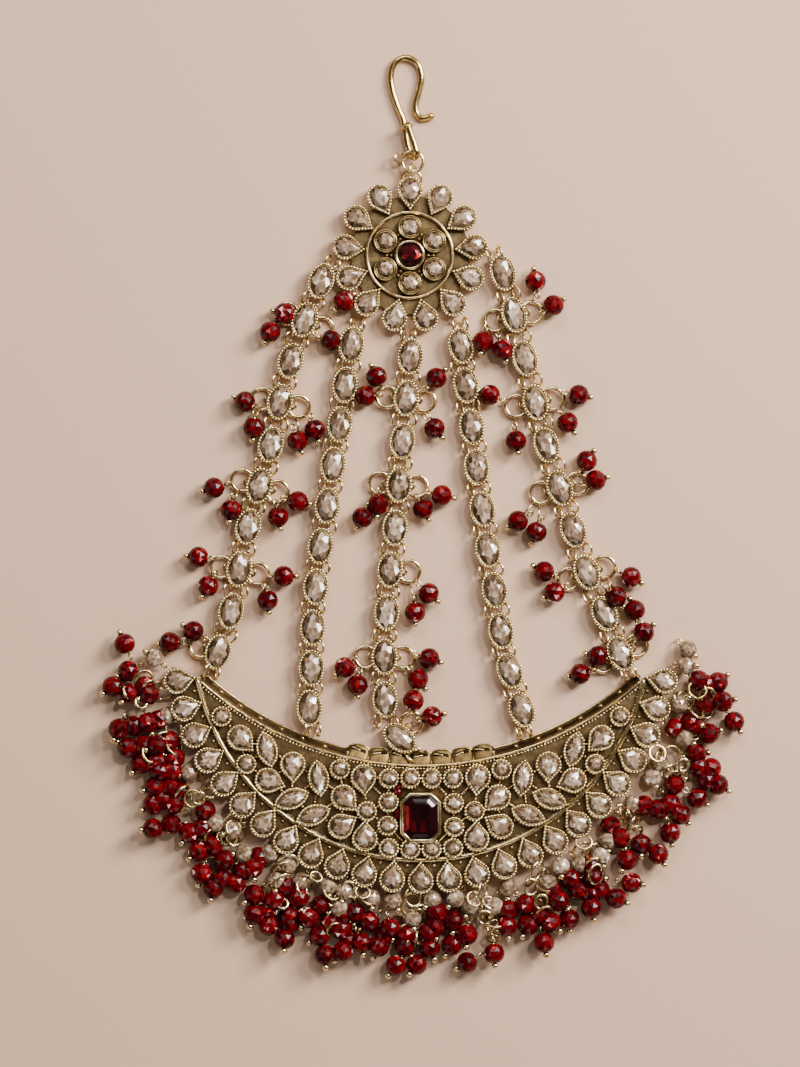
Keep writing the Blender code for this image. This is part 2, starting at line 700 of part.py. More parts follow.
def build_crescent():
    tip = inner_end(INNER_RADIUS)
    foot = crescent_outline(BODY_RADIUS, INNER_RADIUS - FLARE, 0, BODY_END, tip, ARC_STEPS)
    top = crescent_outline(BODY_RADIUS, INNER_RADIUS, 0, BODY_END, tip, ARC_STEPS)
    item = add_object(loft((at_height(foot, 0.0), at_height(top, BODY_HEIGHT))), "crescent", "antique_gold")
    combine(item, hollow(), "DIFFERENCE", crossing=True)
    combine(item, merge(edge_row() + field_stones()), "UNION", crossing=True)
    metal = [ridge()]
    for strand in STRANDS:
        spot, direction = end_rings(strand)[1]
        metal.append(lug(spot, direction))
    metal.append(octagon_block(OCTAGON_BEZEL + GAP, BODY_HEIGHT - PLATE / 2, BODY_HEIGHT + OCTAGON_RISE))
    combine(item, merge(metal), "UNION", crossing=True)
    pocket = octagon_block(GAP, BODY_HEIGHT, BODY_HEIGHT + 2 * OCTAGON_RISE)
    combine(item, pocket, "DIFFERENCE")
    build_octagon_stone()


def hollow():
    """The open space under the plate, on both sides of the middle stone's solid seat."""
    start = OCTAGON_WIDTH / 2 + OCTAGON_BEZEL + GAP
    tip = inner_end(INNER_RADIUS) * HOLLOW_SHARE
    halves = []
    for side in (-1, 1):
        outline = crescent_outline(BODY_RADIUS - WALL, INNER_RADIUS + WALL, start,
                                   BODY_END * HOLLOW_SHARE, tip, HOLLOW_STEPS)
        if side < 0:
            middle = CRESCENT_PLACE.x
            outline = [Vector((2 * middle - p.x, p.y)) for p in reversed(outline)]
        halves.append(loft((at_height(outline, -BODY_HEIGHT), at_height(outline, BODY_HEIGHT - PLATE))))
    return merge(halves)


def edge_row():
    """Pears round the outer edge, tips inwards."""
    outline = pear_outline(EDGE_PEAR_LENGTH, EDGE_PEAR_WIDTH)
    row = []
    for k in range(EDGE_ROW_COUNT):
        turn = (k - (EDGE_ROW_COUNT - 1) / 2) * EDGE_ROW_STEP
        spot = on_circle(CRESCENT_PLACE, EDGE_ROW_RADIUS, turn)
        row.append(place(low_setting(outline, GAP, RIM_TOP), spot, turn + math.pi / 2))
    return row


def field_stones():
    outlines = {
        "pear": pear_outline(FIELD_PEAR_LENGTH, FIELD_PEAR_WIDTH),
        "marquise": marquise_outline(MARQUISE_LENGTH, MARQUISE_WIDTH),
    }
    stones = []
    for kind, turn, depth, point in FIELD:
        for side in (1, -1):
            spot = on_circle(CRESCENT_PLACE, RIDGE_RADIUS - depth * FIELD_DEPTH, side * math.radians(turn))
            face = math.radians(point if side > 0 else 180 - point)
            stones.append(place(low_setting(outlines[kind], BODY_HEIGHT - PLATE / 2, RIM_TOP), spot, face))
    return stones


def ridge():
    """The raised wire between the outer row and the field, from tip to tip."""
    end = inner_ridge_turn()
    turns = [end * (2 * i / ARC_STEPS - 1) for i in range(ARC_STEPS + 1)]
    top = Vector((0, 0, BODY_HEIGHT + RIDGE_RAISE))
    route = [on_circle(CRESCENT_PLACE, RIDGE_RADIUS, turn).to_3d() + top for turn in turns]
    return tube([route], RIDGE_WIRE)


def octagon_block(grow, low, high):
    outline = octagon_outline(OCTAGON_WIDTH + 2 * grow, OCTAGON_LENGTH + 2 * grow, OCTAGON_CORNER + grow / 2)
    return place(loft((at_height(outline, low), at_height(outline, high))), OCTAGON_PLACE)


def build_octagon_stone():
    outline = octagon_outline(OCTAGON_WIDTH, OCTAGON_LENGTH, OCTAGON_CORNER)
    rim = BODY_HEIGHT + OCTAGON_RISE
    steps = [at_height(outline, rim + height * OCTAGON_TABLE, share) for height, share in OCTAGON_STEPS]
    stone = loft([at_height(outline, BODY_HEIGHT + GAP), at_height(outline, rim - OCTAGON_GIRDLE)] + steps)
    add_object(place(stone, OCTAGON_PLACE), "crescent_stone", "garnet_glass")


def bunch_start(turn):
    """The radius where a bead at that turn comes a gap short of its nearest pear."""
    offset = (turn + EDGE_ROW_STEP / 2) % EDGE_ROW_STEP - EDGE_ROW_STEP / 2
    apart = (EDGE_PEAR_WIDTH + RED_BEAD) / 2 + GAP
    aside = EDGE_ROW_RADIUS * math.sin(offset)
    return EDGE_ROW_RADIUS * math.cos(offset) + math.sqrt(apart ** 2 - aside ** 2)


def build_bunch(number, pears, *leans):
    turn = pears * EDGE_ROW_STEP
    spot = on_circle(CRESCENT_PLACE, bunch_start(turn), turn)
    item = add_object(place(bead(RED_BEAD), spot), "bunch_%02d" % number, "red_crystal")
    for lean in leans:
        spot = spot + heading(math.degrees(turn) - 90 + lean) * BEAD_TOUCH
        combine(item, place(bead(RED_BEAD), spot), "UNION")


def build():
    build_medallion()
    build_hook()
    for number, strand in enumerate(STRANDS, 1):
        build_strand(number, strand)
    for number, row in enumerate(DROPS, 1):
        build_drop(number, row)
    build_crescent()
    for number, row in enumerate(BUNCHES, 1):
        build_bunch(number, *row)


clear_scene()
PARTS = new_collection("jhoomar")
CUTTERS = new_collection("cutters")
build()
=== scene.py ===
"""Looks of the jhoomar: faceted stones in beaded settings, crystal beads, wires and light.

The lengths here are in millimetres and repeat the solids' layout; MM turns them into metres.
"""
import math
import random

import bpy
import numpy as np
from mathutils import Matrix, Vector


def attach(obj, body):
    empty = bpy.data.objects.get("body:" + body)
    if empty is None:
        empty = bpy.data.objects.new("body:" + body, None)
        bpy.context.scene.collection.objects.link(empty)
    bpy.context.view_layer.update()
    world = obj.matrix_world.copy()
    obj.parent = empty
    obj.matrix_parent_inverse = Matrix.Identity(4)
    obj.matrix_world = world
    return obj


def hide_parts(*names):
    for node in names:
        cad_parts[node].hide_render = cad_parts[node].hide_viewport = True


MM = 0.001
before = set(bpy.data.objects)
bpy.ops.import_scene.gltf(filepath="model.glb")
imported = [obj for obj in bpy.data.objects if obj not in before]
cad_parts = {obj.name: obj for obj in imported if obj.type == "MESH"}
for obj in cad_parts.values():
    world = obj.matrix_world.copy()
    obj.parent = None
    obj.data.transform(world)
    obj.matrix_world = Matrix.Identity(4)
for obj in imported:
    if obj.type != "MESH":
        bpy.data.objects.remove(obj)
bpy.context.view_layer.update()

# The photograph: its size, its scale and the pixel at the frame's origin
PHOTO_WIDTH, PHOTO_HEIGHT = 800, 1067
PIXEL = 0.18
ORIGIN_PIXEL = (409.9, 255.9)

# Settings: widths over the milgrain rims, and heights
OVAL = (6.8, 4.8)
OVAL_RIM = 2.2
PETAL = (6.15, 4.75)
SMALL_ROUND = 4.25
EDGE_PEAR = (6.05, 4.8)
FIELD_PEAR = (5.9, 4.75)
MARQUISE = (6.8, 3.9)
FIELD_ROUND = 3.8
MILGRAIN = 0.32             # radius of the rims' grains
MILGRAIN_PITCH = 0.56
FRINGE_TOP = 4.75
BEAD_SWELL = 1.05     # corners of a cut bead past its diameter
FRINGE_SPACING = 2.95       # between the centres of the fringe's beads, which lie piled up
STONE_RISE = 0.8            # table above the girdle
GLINT_TURN = 0.7            # where the stones flash: towards the light, from +X towards +Y

# Medallion
DISC_TOP = 1.0
MEDALLION_RIM = 2.25
CENTRE_STONE = 4.1
CENTRE_BEZEL = 2.75
SMALL_RADIUS = 5.05
SMALL_COUNT = 6
RING_RADIUS = 7.7
RING_WIRE = 0.62
PETAL_COUNT = 13
DISC_SEEN = 10.7            # the disc's edge between the petals
PETAL_RADIUS = 11.75
MEDALLION_EDGE = 14.05

# Hook and its ring
HOOK_WIRE = 1.2
HOOK_LENGTH = 16.8
HOOK_LOOP = 5.4
EYE_LENGTH = 5.0
EYE_OPENING = 1.6
EYE_TURN = math.radians(65)
EYE_LEAN = math.radians(106)
EYE_REST = 0.15
EYE_FOLD = 0.55
HOOK_RING = 4.4
HOOK_RING_WIRE = 0.65
HOOK_ASIDE = 0.5
HOOK_SHAPE = (
    # across, along
    (-0.30, 0.32), (-0.52, 0.50), (-0.69, 0.68), (-0.73, 0.82), (-0.60, 0.95), (-0.23, 1.01),
    (0.14, 0.95), (0.29, 0.80), (0.20, 0.64), (0.10, 0.51), (0.14, 0.41), (0.32, 0.362), (0.58, 0.38),
)

# Strands: the same chosen points as the solids' routes
OVAL_COUNT = 10
STRANDS = (
    dict(route=((-15.9, -4.5), (-21.4, -18.7), (-25.0, -34.3), (-29.1, -49.2), (-32.1, -64.0),
                (-34.4, -71.3)), lean=0, top=0.3, foot=0.0),
    dict(route=((-10.5, -15.9), (-12.8, -31.0), (-15.0, -45.8), (-17.1, -60.5), (-17.8, -74.8),
                (-18.0, -81.4)), lean=0, top=0.2, foot=0.3),
    dict(route=((0.0, -18.0), (-1.5, -34.2), (-2.8, -50.1), (-4.3, -65.0), (-4.4, -80.6),
                (-1.8, -86.7)), lean=-26, top=-0.3, foot=-0.2),
    dict(route=((9.0, -16.1), (11.0, -31.0), (13.0, -46.3), (16.4, -68.6), (17.9, -75.0),
                (20.0, -81.7)), lean=0, top=0.2, foot=-0.3),
    dict(route=((16.7, -3.1), (20.7, -19.3), (24.6, -34.4), (31.8, -57.2), (34.8, -64.4),
                (37.8, -71.6)), lean=0, top=-0.3, foot=0.0),
)
JOINT_RING = 2.3
JOINT_RING_REACH = 1.5
SIDE_RING = 4.6
SIDE_RING_WIRE = 0.75
SIDE_RING_REACH = 3.35
RED_BEAD = 3.7
BALL_END = 1.25

# The drops' beads: strand, setting, side, then each bead's place in the photograph's pixels
DROPS = (
    (1, 2, -1, (270.5, 332.5), (285.0, 314.0)),
    (1, 2, 1, (344.0, 302.0), (331.0, 341.0)),
    (1, 4, -1, (245.5, 402.0), (254.0, 428.0)),
    (1, 4, 1, (315.0, 430.0), (298.0, 441.0)),
    (1, 6, -1, (214.6, 488.0), (231.5, 510.0)),
    (1, 6, 1, (298.0, 501.5), (278.5, 517.0)),
    (1, 8, -1, (199.0, 557.0), (208.5, 586.0)),
    (1, 8, 1, (284.0, 576.0), (268.0, 600.0)),
    (1, 10, -1, (170.5, 642.0), (194.0, 631.0)),
    (3, 2, -1, (376.5, 377.0), (365.5, 396.5)),
    (3, 2, 1, (436.0, 378.5), (434.3, 428.5)),
    (3, 4, -1, (378.0, 504.5), (362.5, 517.5)),
    (3, 4, 1, (441.5, 495.5), (423.0, 509.0)),
    (3, 6, 1, (428.5, 593.0), (415.0, 612.0)),
    (3, 8, -1, (345.0, 667.0), (357.5, 684.5)),
    (3, 8, 1, (429.0, 658.0), (418.0, 678.5)),
    (3, 10, 1, (413.5, 700.0), (432.0, 716.0)),
    (5, 2, -1, (483.0, 342.0), (502.0, 350.0)),
    (5, 2, 1, (535.0, 282.0), (553.0, 306.0)),
    (5, 4, -1, (489.5, 395.5), (515.5, 441.0)),
    (5, 4, 1, (578.0, 395.5), (567.0, 423.0)),
    (5, 6, -1, (517.5, 521.0), (536.0, 532.0)),
    (5, 6, 1, (586.0, 461.0), (595.0, 480.5)),
    (5, 8, -1, (543.5, 571.5), (554.0, 592.0)),
    (5, 8, 1, (630.0, 577.0), (615.5, 596.5)),
    (5, 10, -1, (597.0, 656.0), (579.5, 673.5)),
    (5, 10, 1, (634.0, 610.0), (643.0, 632.0)),
)

# Crescent
CRESCENT = Vector((1.9, -67.6))
EDGE_ROW_RADIUS = 44.6
EDGE_ROW_COUNT = 25
EDGE_ROW_STEP = (EDGE_PEAR[1] + 0.3) / EDGE_ROW_RADIUS
RIDGE_RADIUS = 40.9
RIDGE_WIRE = 0.75
INNER_RADIUS = 59.0
FIELD_DEPTH = 16.9
BODY_HEIGHT = 2.3
BODY_RADIUS = EDGE_ROW_RADIUS + 0.3
FLARE = 1.6
RIM = 3.55
INNER = CRESCENT + Vector((0, INNER_RADIUS + FIELD_DEPTH - RIDGE_RADIUS))
POST_PITCH = 4.1
POST_WIDTH = 1.0
WAVE_PITCH = 3.75
WAVE_STEPS = 12             # straight stretches in each scallop
SLOT_STEPS = 8         # the S-shaped slot in each wave
SLOT_START = 0.14
SLOT_SWING = 0.32
WAVE_DEPTH = 0.8
WAVY_TURN = math.radians(13)
FIELD = (
    # kind, turn, depth, point
    ("round", 67.0, 0.128, 0),
    ("round", 52.9, 0.102, 0),
    ("round", 30.5, 0.732, 0),
    ("round", 16.7, 0.437, 0),
    ("pear", 59.7, 0.202, 225),
    ("pear", 44.0, 0.471, 268),
    ("pear", 45.9, 0.162, 200),
    ("pear", 25.1, 0.487, 225),
    ("pear", 22.4, 0.192, 150),
    ("pear", 21.5, 0.767, 265),
    ("pear", 15.1, 0.151, 90),
    ("marquise", 52.6, 0.373, 75),
    ("marquise", 37.7, 0.186, -20),
    ("marquise", 34.9, 0.532, 83),
    ("marquise", 30.4, 0.169, -21),
)
OCTAGON = (6.3, 7.9)
OCTAGON_CORNER = 1.4
OCTAGON_PLACE = CRESCENT - Vector((0, RIDGE_RADIUS - 0.455 * FIELD_DEPTH))
OCTAGON_BEZEL = 0.45
OCTAGON_RIM = 3.9
# Rounds about the octagon, from its centre
RED_GLINTS = ((-4.05, 4.9), (-4.15, 0.6))    # red beads that show between the settings
FRAME_ROUNDS = (
    (-5.7, 7.0), (-1.85, 7.0), (1.95, 7.0), (5.8, 7.0), (-5.75, 2.75), (5.95, 2.55), (-5.95, -1.5), (6.0, -1.7),
    (-5.7, -5.5), (-1.85, -5.65), (1.95, -5.65), (5.8, -5.5),
)

# Fringe: beads' places in the photograph's pixels, round the crescent from left to right
RED_FRINGE = (
    (125.7, 643.4), (129.3, 670.5), (113.7, 686.2), (131, 693), (149.7, 693.7), (120, 728),
    (148.9, 721.5), (129, 747), (158, 744.3), (141.4, 763.2), (175.4, 757), (159.6, 773),
    (153.8, 804), (175.4, 802.8), (156.3, 784), (206, 810), (153.8, 827.5), (172, 823),
    (189.8, 832), (199.4, 850), (202, 872), (224.7, 859), (213.7, 887), (236.4, 881.7),
    (253.5, 866.4), (254.5, 893), (254.2, 912.8), (269, 924), (275, 898), (285, 937), (290, 914),
    (299, 896.7), (309, 916), (319.5, 934), (325.3, 953), (341.5, 927.6), (343.2, 949.6),
    (354.7, 911), (369.4, 920), (360.6, 940.8), (378.7, 944.7), (389.9, 926), (395.8, 964),
    (404.9, 944.7), (416.6, 962.8), (429.5, 946.7), (435, 925.5), (452.5, 919.6), (467, 933),
    (451.4, 943.6), (466.9, 960.8), (493.6, 951.3), (506, 924.5), (524.3, 902.4), (527, 923.6),
    (543.4, 940.8), (550, 921), (557.8, 899.4), (568.5, 918), (577.8, 889), (592.4, 875.7),
    (590.4, 906.4), (615, 896.8), (630.5, 881.5), (625.8, 858.4), (618.7, 836.6), (640, 843),
    (657.2, 853), (668.7, 831.6), (657, 808.6), (679.3, 813.4), (696, 797), (673.2, 783.7),
    (716.8, 783.7), (695, 752.7), (710, 767.3), (670.9, 726.3), (688.7, 721.7), (707.7, 732.9),
    (732.9, 721), (721.4, 700.7), (716.8, 681.8), (697, 679.8),
)
PALE_FRINGE = (
    (182, 655), (168, 715), (190, 772), (216, 822), (233, 829), (245, 853), (270, 852),
    (289, 862), (277, 880), (302, 880), (328, 885), (345, 890), (340, 908), (371, 897),
    (393, 900), (412, 917), (432, 896), (455, 897), (470, 905), (494, 905), (508, 887),
    (548, 882), (560, 865), (580, 862), (600, 855), (608, 839), (632, 803), (652, 776),
    (658, 762), (683, 737), (678, 703), (660, 653), (680, 658),
)
# Jump rings of the fringe: a group's turn in degrees from straight down, its rings, its reach
CHAINS = (
    (-78, 7, 52.0), (-67, 6, 51.5), (-54, 7, 52.0), (-44, 6, 51.0), (-28, 5, 53.0), (-23, 4, 50.5),
    (-17, 6, 54.0), (-13, 5, 51.0), (-2, 8, 54.5), (13, 8, 54.5), (25, 8, 53.5), (38, 7, 52.0),
    (48, 6, 51.0), (62, 8, 52.0), (76, 7, 52.0),
)


# Materials

def node_material(name, metallic, roughness, coat=0.0):
    made = bpy.data.materials.new(name)
    made.use_nodes = True
    shader = made.node_tree.nodes["Principled BSDF"]
    shader.inputs["Metallic"].default_value = metallic
    shader.inputs["Roughness"].default_value = roughness
    shader.inputs["Coat Weight"].default_value = coat
    shader.inputs["Coat Roughness"].default_value = 0.03
    return made, made.node_tree, shader


def ramp(tree, source, stops, interpolation="LINEAR"):
    """A colour ramp behind a node's output: stops are (position, colour)."""
    made = tree.nodes.new("ShaderNodeValToRGB")
    made.color_ramp.interpolation = interpolation
    entries = made.color_ramp.elements
    while len(entries) < len(stops):
        entries.new(0.5)
    for entry, (position, colour) in zip(entries, stops):
        entry.position = position
        entry.color = (*colour, 1.0)
    tree.links.new(source, made.inputs["Fac"])
    return made.outputs["Color"]


def noise(tree, scale, detail=4.0):
    """Noise whose scale is in features for each metre of the object."""
    place = tree.nodes.new("ShaderNodeTexCoord")
    made = tree.nodes.new("ShaderNodeTexNoise")
    made.inputs["Scale"].default_value = scale
    made.inputs["Detail"].default_value = detail
    tree.links.new(place.outputs["Object"], made.inputs["Vector"])
    return made.outputs["Fac"]


def blend(tree, kind, factor, first, second):
    made = tree.nodes.new("ShaderNodeMix")
    made.data_type = "RGBA"
    made.blend_type = kind
    for value, socket in ((factor, made.inputs["Factor"]), (first, made.inputs[6]), (second, made.inputs[7])):
        if isinstance(value, bpy.types.NodeSocket):
            tree.links.new(value, socket)
        else:
            socket.default_value = value
    return made.outputs[2]


def metal_material(name, dark, middle, light, roughness, shade_and_tarnish, depth):
    """Gold darkened in its crevices by ambient occlusion: painted shade along with tarnishing; bright with wear
    elsewhere, and a fine hammered grain.
    """
    made, tree, shader = node_material(name, 1.0, roughness)
    colour = ramp(tree, noise(tree, 900.0), ((0.3, middle), (0.7, light)))
    # Painted shade: ambient occlusion pulls the crevices towards the dark colour, for their shade and their tarnishing
    # alike.
    crevice = tree.nodes.new("ShaderNodeAmbientOcclusion")
    crevice.inputs["Distance"].default_value = depth * MM
    crevice.samples = 8
    crevice_shade_and_tarnish = ramp(tree, crevice.outputs["AO"], ((0.25, (shade_and_tarnish,) * 3), (0.8, (0.0,) * 3)))
    tree.links.new(blend(tree, "MIX", crevice_shade_and_tarnish, colour, (*dark, 1.0)), shader.inputs["Base Color"])
    rough = ramp(tree, noise(tree, 2500.0), ((0.3, (roughness * 0.8,) * 3), (0.7, (roughness * 1.5,) * 3)))
    tree.links.new(rough, shader.inputs["Roughness"])
    bump = tree.nodes.new("ShaderNodeBump")
    bump.inputs["Strength"].default_value = 0.25
    bump.inputs["Distance"].default_value = 0.05 * MM
    tree.links.new(noise(tree, 3500.0), bump.inputs["Height"])
    tree.links.new(bump.outputs["Normal"], shader.inputs["Normal"])
    return made


def facet_material(name, stops, metallic, roughness, flecks, coat, glow):
    """Cut glass, opaque: each facet has its own shade, painted for the light that comes back from behind it, with noise
    streaks in it; the brightest facets emit as painted glints.
    """
    made, tree, shader = node_material(name, metallic, roughness, coat)
    shade = tree.nodes.new("ShaderNodeAttribute")
    shade.attribute_name = "shade"
    streaks = ramp(tree, noise(tree, 1100.0), ((0.35, (0.0,) * 3), (0.65, (1.0,) * 3)))
    mix = tree.nodes.new("ShaderNodeMix")
    mix.inputs["Factor"].default_value = flecks
    tree.links.new(shade.outputs["Fac"], mix.inputs["A"])
    tree.links.new(streaks, mix.inputs["B"])
    colour = ramp(tree, mix.outputs["Result"], stops)
    tree.links.new(colour, shader.inputs["Base Color"])
    # Painted glints: facets past the threshold emit the ramp's top colour, though they are no lamp.
    flash = ramp(tree, mix.outputs["Result"], ((0.84, (0.0,) * 3), (0.92, stops[-1][1])))
    tree.links.new(flash, shader.inputs["Emission Color"])
    shader.inputs["Emission Strength"].default_value = glow
    return made


ANTIQUE = metal_material("antique_gold_worn", (0.040, 0.022, 0.008), (0.36, 0.235, 0.085), (0.64, 0.455, 0.205),
                         0.26, 0.98, 0.7)
POLISHED = metal_material("polished_gold_wire", (0.11, 0.065, 0.015), (0.45, 0.31, 0.10), (0.62, 0.46, 0.19),
                          0.18, 0.7, 0.4)
BRIGHT = metal_material("antique_gold_bright", (0.06, 0.034, 0.012), (0.66, 0.475, 0.215), (0.95, 0.78, 0.46),
                        0.19, 0.96, 0.45)
# Painted shade: the plate's gold is set darker, for the dark that its flat top reflects.
PLATE = metal_material("antique_gold_plate_painted_shade", (0.022, 0.012, 0.005), (0.185, 0.118, 0.054), (0.33, 0.225, 0.11),
                       0.36, 0.96, 1.4)
# Painted shade: a darker gold for the gallery's sloping and scalloped walls, standing for their shading.
WALL = metal_material("antique_gold_wall_painted_shade", (0.018, 0.010, 0.004), (0.095, 0.058, 0.021), (0.20, 0.13, 0.05),
                      0.38, 0.95, 1.2)
# Painted shadow: near-black gold put in the gallery's slots and behind its posts, where there is only shade.
SHADE = metal_material("antique_gold_painted_shadow", (0.010, 0.006, 0.003), (0.022, 0.013, 0.006), (0.04, 0.025, 0.011),
                       0.5, 0.9, 0.8)
CLEAR = facet_material(
    "clear_crystal", ((0.0, (0.018, 0.009, 0.004)), (0.25, (0.095, 0.053, 0.027)), (0.5, (0.31, 0.20, 0.128)),
                      (0.75, (0.66, 0.50, 0.375)), (0.95, (1.0, 0.97, 0.92))), 0.2, 0.13, 0.1, 0.35, 1.7)
RED = facet_material(
    "red_crystal_cut", ((0.0, (0.005, 0.0, 0.0007)), (0.35, (0.030, 0.0, 0.0014)), (0.75, (0.14, 0.0003, 0.003)),
                        (0.87, (0.32, 0.006, 0.010)), (0.95, (0.95, 0.62, 0.56))), 0.0, 0.22, 0.12, 0.08, 0.8)
GARNET = facet_material(
    "garnet_cut", ((0.0, (0.0035, 0.0, 0.0007)), (0.4, (0.013, 0.0001, 0.001)), (0.68, (0.07, 0.0006, 0.002)),
                   (0.82, (0.42, 0.02, 0.010)), (0.96, (0.95, 0.78, 0.72))), 0.0, 0.3, 0.08, 0.04, 0.5)
PALE = facet_material(
    "champagne_crystal", ((0.0, (0.035, 0.018, 0.008)), (0.4, (0.175, 0.105, 0.06)), (0.75, (0.50, 0.36, 0.245)),
                          (0.93, (1.0, 0.94, 0.86))), 0.1, 0.12, 0.2, 0.4, 1.3)
for made in (RED, GARNET):
    made.node_tree.nodes["Principled BSDF"].inputs["Specular IOR Level"].default_value = 0.15


# Mesh building

class Piece:
    """One mesh under way: points, faces, and each face's material, shade and smoothness."""

    def __init__(self, name, *materials):
        self.name = name
        self.materials = materials
        self.points = []
        self.faces = []
        self.slots = []
        self.shades = []
        self.smooth = []
        self.count = 0

    def add(self, points, faces, slot=0, smooth=True, shades=None):
        points = np.asarray(points, dtype=float)
        self.points.append(points)
        self.faces.extend([tuple(i + self.count for i in face) for face in faces])
        self.slots.extend([slot] * len(faces))
        self.smooth.extend([smooth] * len(faces))
        self.shades.extend(shades if shades is not None else [0.5] * len(faces))
        self.count += len(points)

    def finish(self, replaced=()):
        mesh = bpy.data.meshes.new(self.name)
        points = np.concatenate(self.points) * MM
        mesh.from_pydata(points.tolist(), [], self.faces)
        for made in self.materials:
            mesh.materials.append(made)
        mesh.polygons.foreach_set("material_index", self.slots)
        mesh.polygons.foreach_set("use_smooth", self.smooth)
        # Per-face shades: painted light of the stones' and beads' facets; the metals leave it unused.
        shade = mesh.attributes.new("shade", "FLOAT", "FACE")
        shade.data.foreach_set("value", np.asarray(self.shades, dtype=np.float32))
        mesh.update()
        item = bpy.data.objects.new(self.name, mesh)
        bpy.context.scene.collection.objects.link(item)
        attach(item, "root")
        if replaced:
            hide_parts(*replaced)
        return item


def turned(points, matrix):
    points = np.asarray(points, dtype=float)
    rotation = np.array(matrix.to_3x3())
    return points @ rotation.T + np.array(matrix.translation)


def stand(spot, turn=0.0, height=0.0):
    """A matrix that turns about Z and moves to a spot in plan."""
    return Matrix.Translation((spot[0], spot[1], height)) @ Matrix.Rotation(turn, 4, "Z")


def bridge(rows, columns, closed=True):
    """Quads between neighbouring rows of points that close on themselves."""
    faces = []
    for r in range(rows - 1):
        for c in range(columns if closed else columns - 1):
            d = (c + 1) % columns
            faces.append((r * columns + c, r * columns + d, (r + 1) * columns + d, (r + 1) * columns + c))
    return faces


def grain_mesh():
    """The twelve corners and twenty faces of a small grain."""
    g = (1 + math.sqrt(5)) / 2
    corners = []
    for a in (-1, 1):
        for b in (-g, g):
            corners += [(a, b, 0), (0, a, b), (b, 0, a)]
    corners = np.array(corners, dtype=float) / math.sqrt(1 + g * g)
    faces = []
    edge = 2 / math.sqrt(1 + g * g) + 0.01
    near = np.linalg.norm(corners[:, None] - corners[None], axis=2) < edge
    for i in range(12):
        for j in range(i + 1, 12):
            for k in range(j + 1, 12):
                if near[i, j] and near[j, k] and near[i, k]:
                    normal = np.cross(corners[j] - corners[i], corners[k] - corners[i])
                    faces.append((i, j, k) if normal @ corners[i] > 0 else (i, k, j))
    return corners, faces


GRAIN = grain_mesh()


def add_grains(piece, spots, radius, slot=0):
    corners, faces = GRAIN
    for spot in spots:
        piece.add(corners * radius + np.asarray(spot), faces, slot)


def ball_mesh(columns=10, rows=6):
    points = [(0, 0, -1)]
    for r in range(1, rows):
        tilt = math.pi * r / rows
        points += [(math.sin(tilt) * math.cos(math.tau * c / columns), math.sin(tilt) * math.sin(math.tau * c / columns),
                    -math.cos(tilt)) for c in range(columns)]
    last = len(points)
    points.append((0, 0, 1))
    faces = [tuple(i + 1 for i in face) for face in bridge(rows - 1, columns)]
    for c in range(columns):
        d = (c + 1) % columns
        faces += [(0, 1 + d, 1 + c), (last, last - columns + c, last - columns + d)]
    return np.array(points, dtype=float), faces


BALL = ball_mesh()


def add_ball(piece, spot, radius, slot=0):
    piece.add(BALL[0] * radius + np.asarray(spot), BALL[1], slot)


def add_ring(piece, outer, wire, matrix, slot=0, sides=26, wire_sides=8, stretch=1.0):
    """A jump ring in the matrix's XY plane; stretch lengthens it along its X."""
    middle = (outer - wire) / 2
    points = []
    for s in range(sides):
        a = math.tau * s / sides
        for w in range(wire_sides):
            b = math.tau * w / wire_sides
            reach = middle + wire / 2 * math.cos(b)
            points.append((reach * math.cos(a) * stretch, reach * math.sin(a), wire / 2 * math.sin(b)))
    faces = []
    for s in range(sides):
        for w in range(wire_sides):
            t, v = (s + 1) % sides, (w + 1) % wire_sides
            faces.append((s * wire_sides + w, t * wire_sides + w, t * wire_sides + v, s * wire_sides + v))
    piece.add(turned(points, matrix), faces, slot)


def smooth_path(points, steps):
    """A Catmull-Rom path through the points."""
    points = [Vector(p) for p in points]
    path = []
    for i in range(len(points) - 1):
        p1, p2 = points[i], points[i + 1]
        p0 = points[i - 1] if i else 2 * p1 - p2
        p3 = points[i + 2] if i + 2 < len(points) else 2 * p2 - p1
        for k in range(steps):
            f = k / steps
            path.append(0.5 * (2 * p1 + (p2 - p0) * f + (2 * p0 - 5 * p1 + 4 * p2 - p3) * f ** 2
                               + (3 * p1 - p0 - 3 * p2 + p3) * f ** 3))
    return path + [points[-1]]


def add_tube(piece, path, diameter, slot=0, sides=8):
    """A round wire along a path, with closed ends."""
    path = [Vector(p) for p in path]
    normal = None
    points = []
    for i, spot in enumerate(path):
        ahead = (path[min(i + 1, len(path) - 1)] - path[max(i - 1, 0)]).normalized()
        if normal is None:
            normal = ahead.orthogonal().normalized()
        normal = (normal - ahead * normal.dot(ahead)).normalized()
        other = ahead.cross(normal)
        for s in range(sides):
            a = math.tau * s / sides
            points.append(spot + (normal * math.cos(a) + other * math.sin(a)) * diameter / 2)
    faces = bridge(len(path), sides)
    faces += [tuple(reversed(range(sides))), tuple((len(path) - 1) * sides + s for s in range(sides))]
    piece.add([tuple(p) for p in points], faces, slot)


# Outlines, counterclockwise about the origin, long way along +X

def round_outline(diameter, count):
    step = math.tau / count
    return np.array([(math.cos(i * step), math.sin(i * step)) for i in range(count)]) * diameter / 2


def oval_outline(size, count):
    return round_outline(1.0, count) * np.array(size)


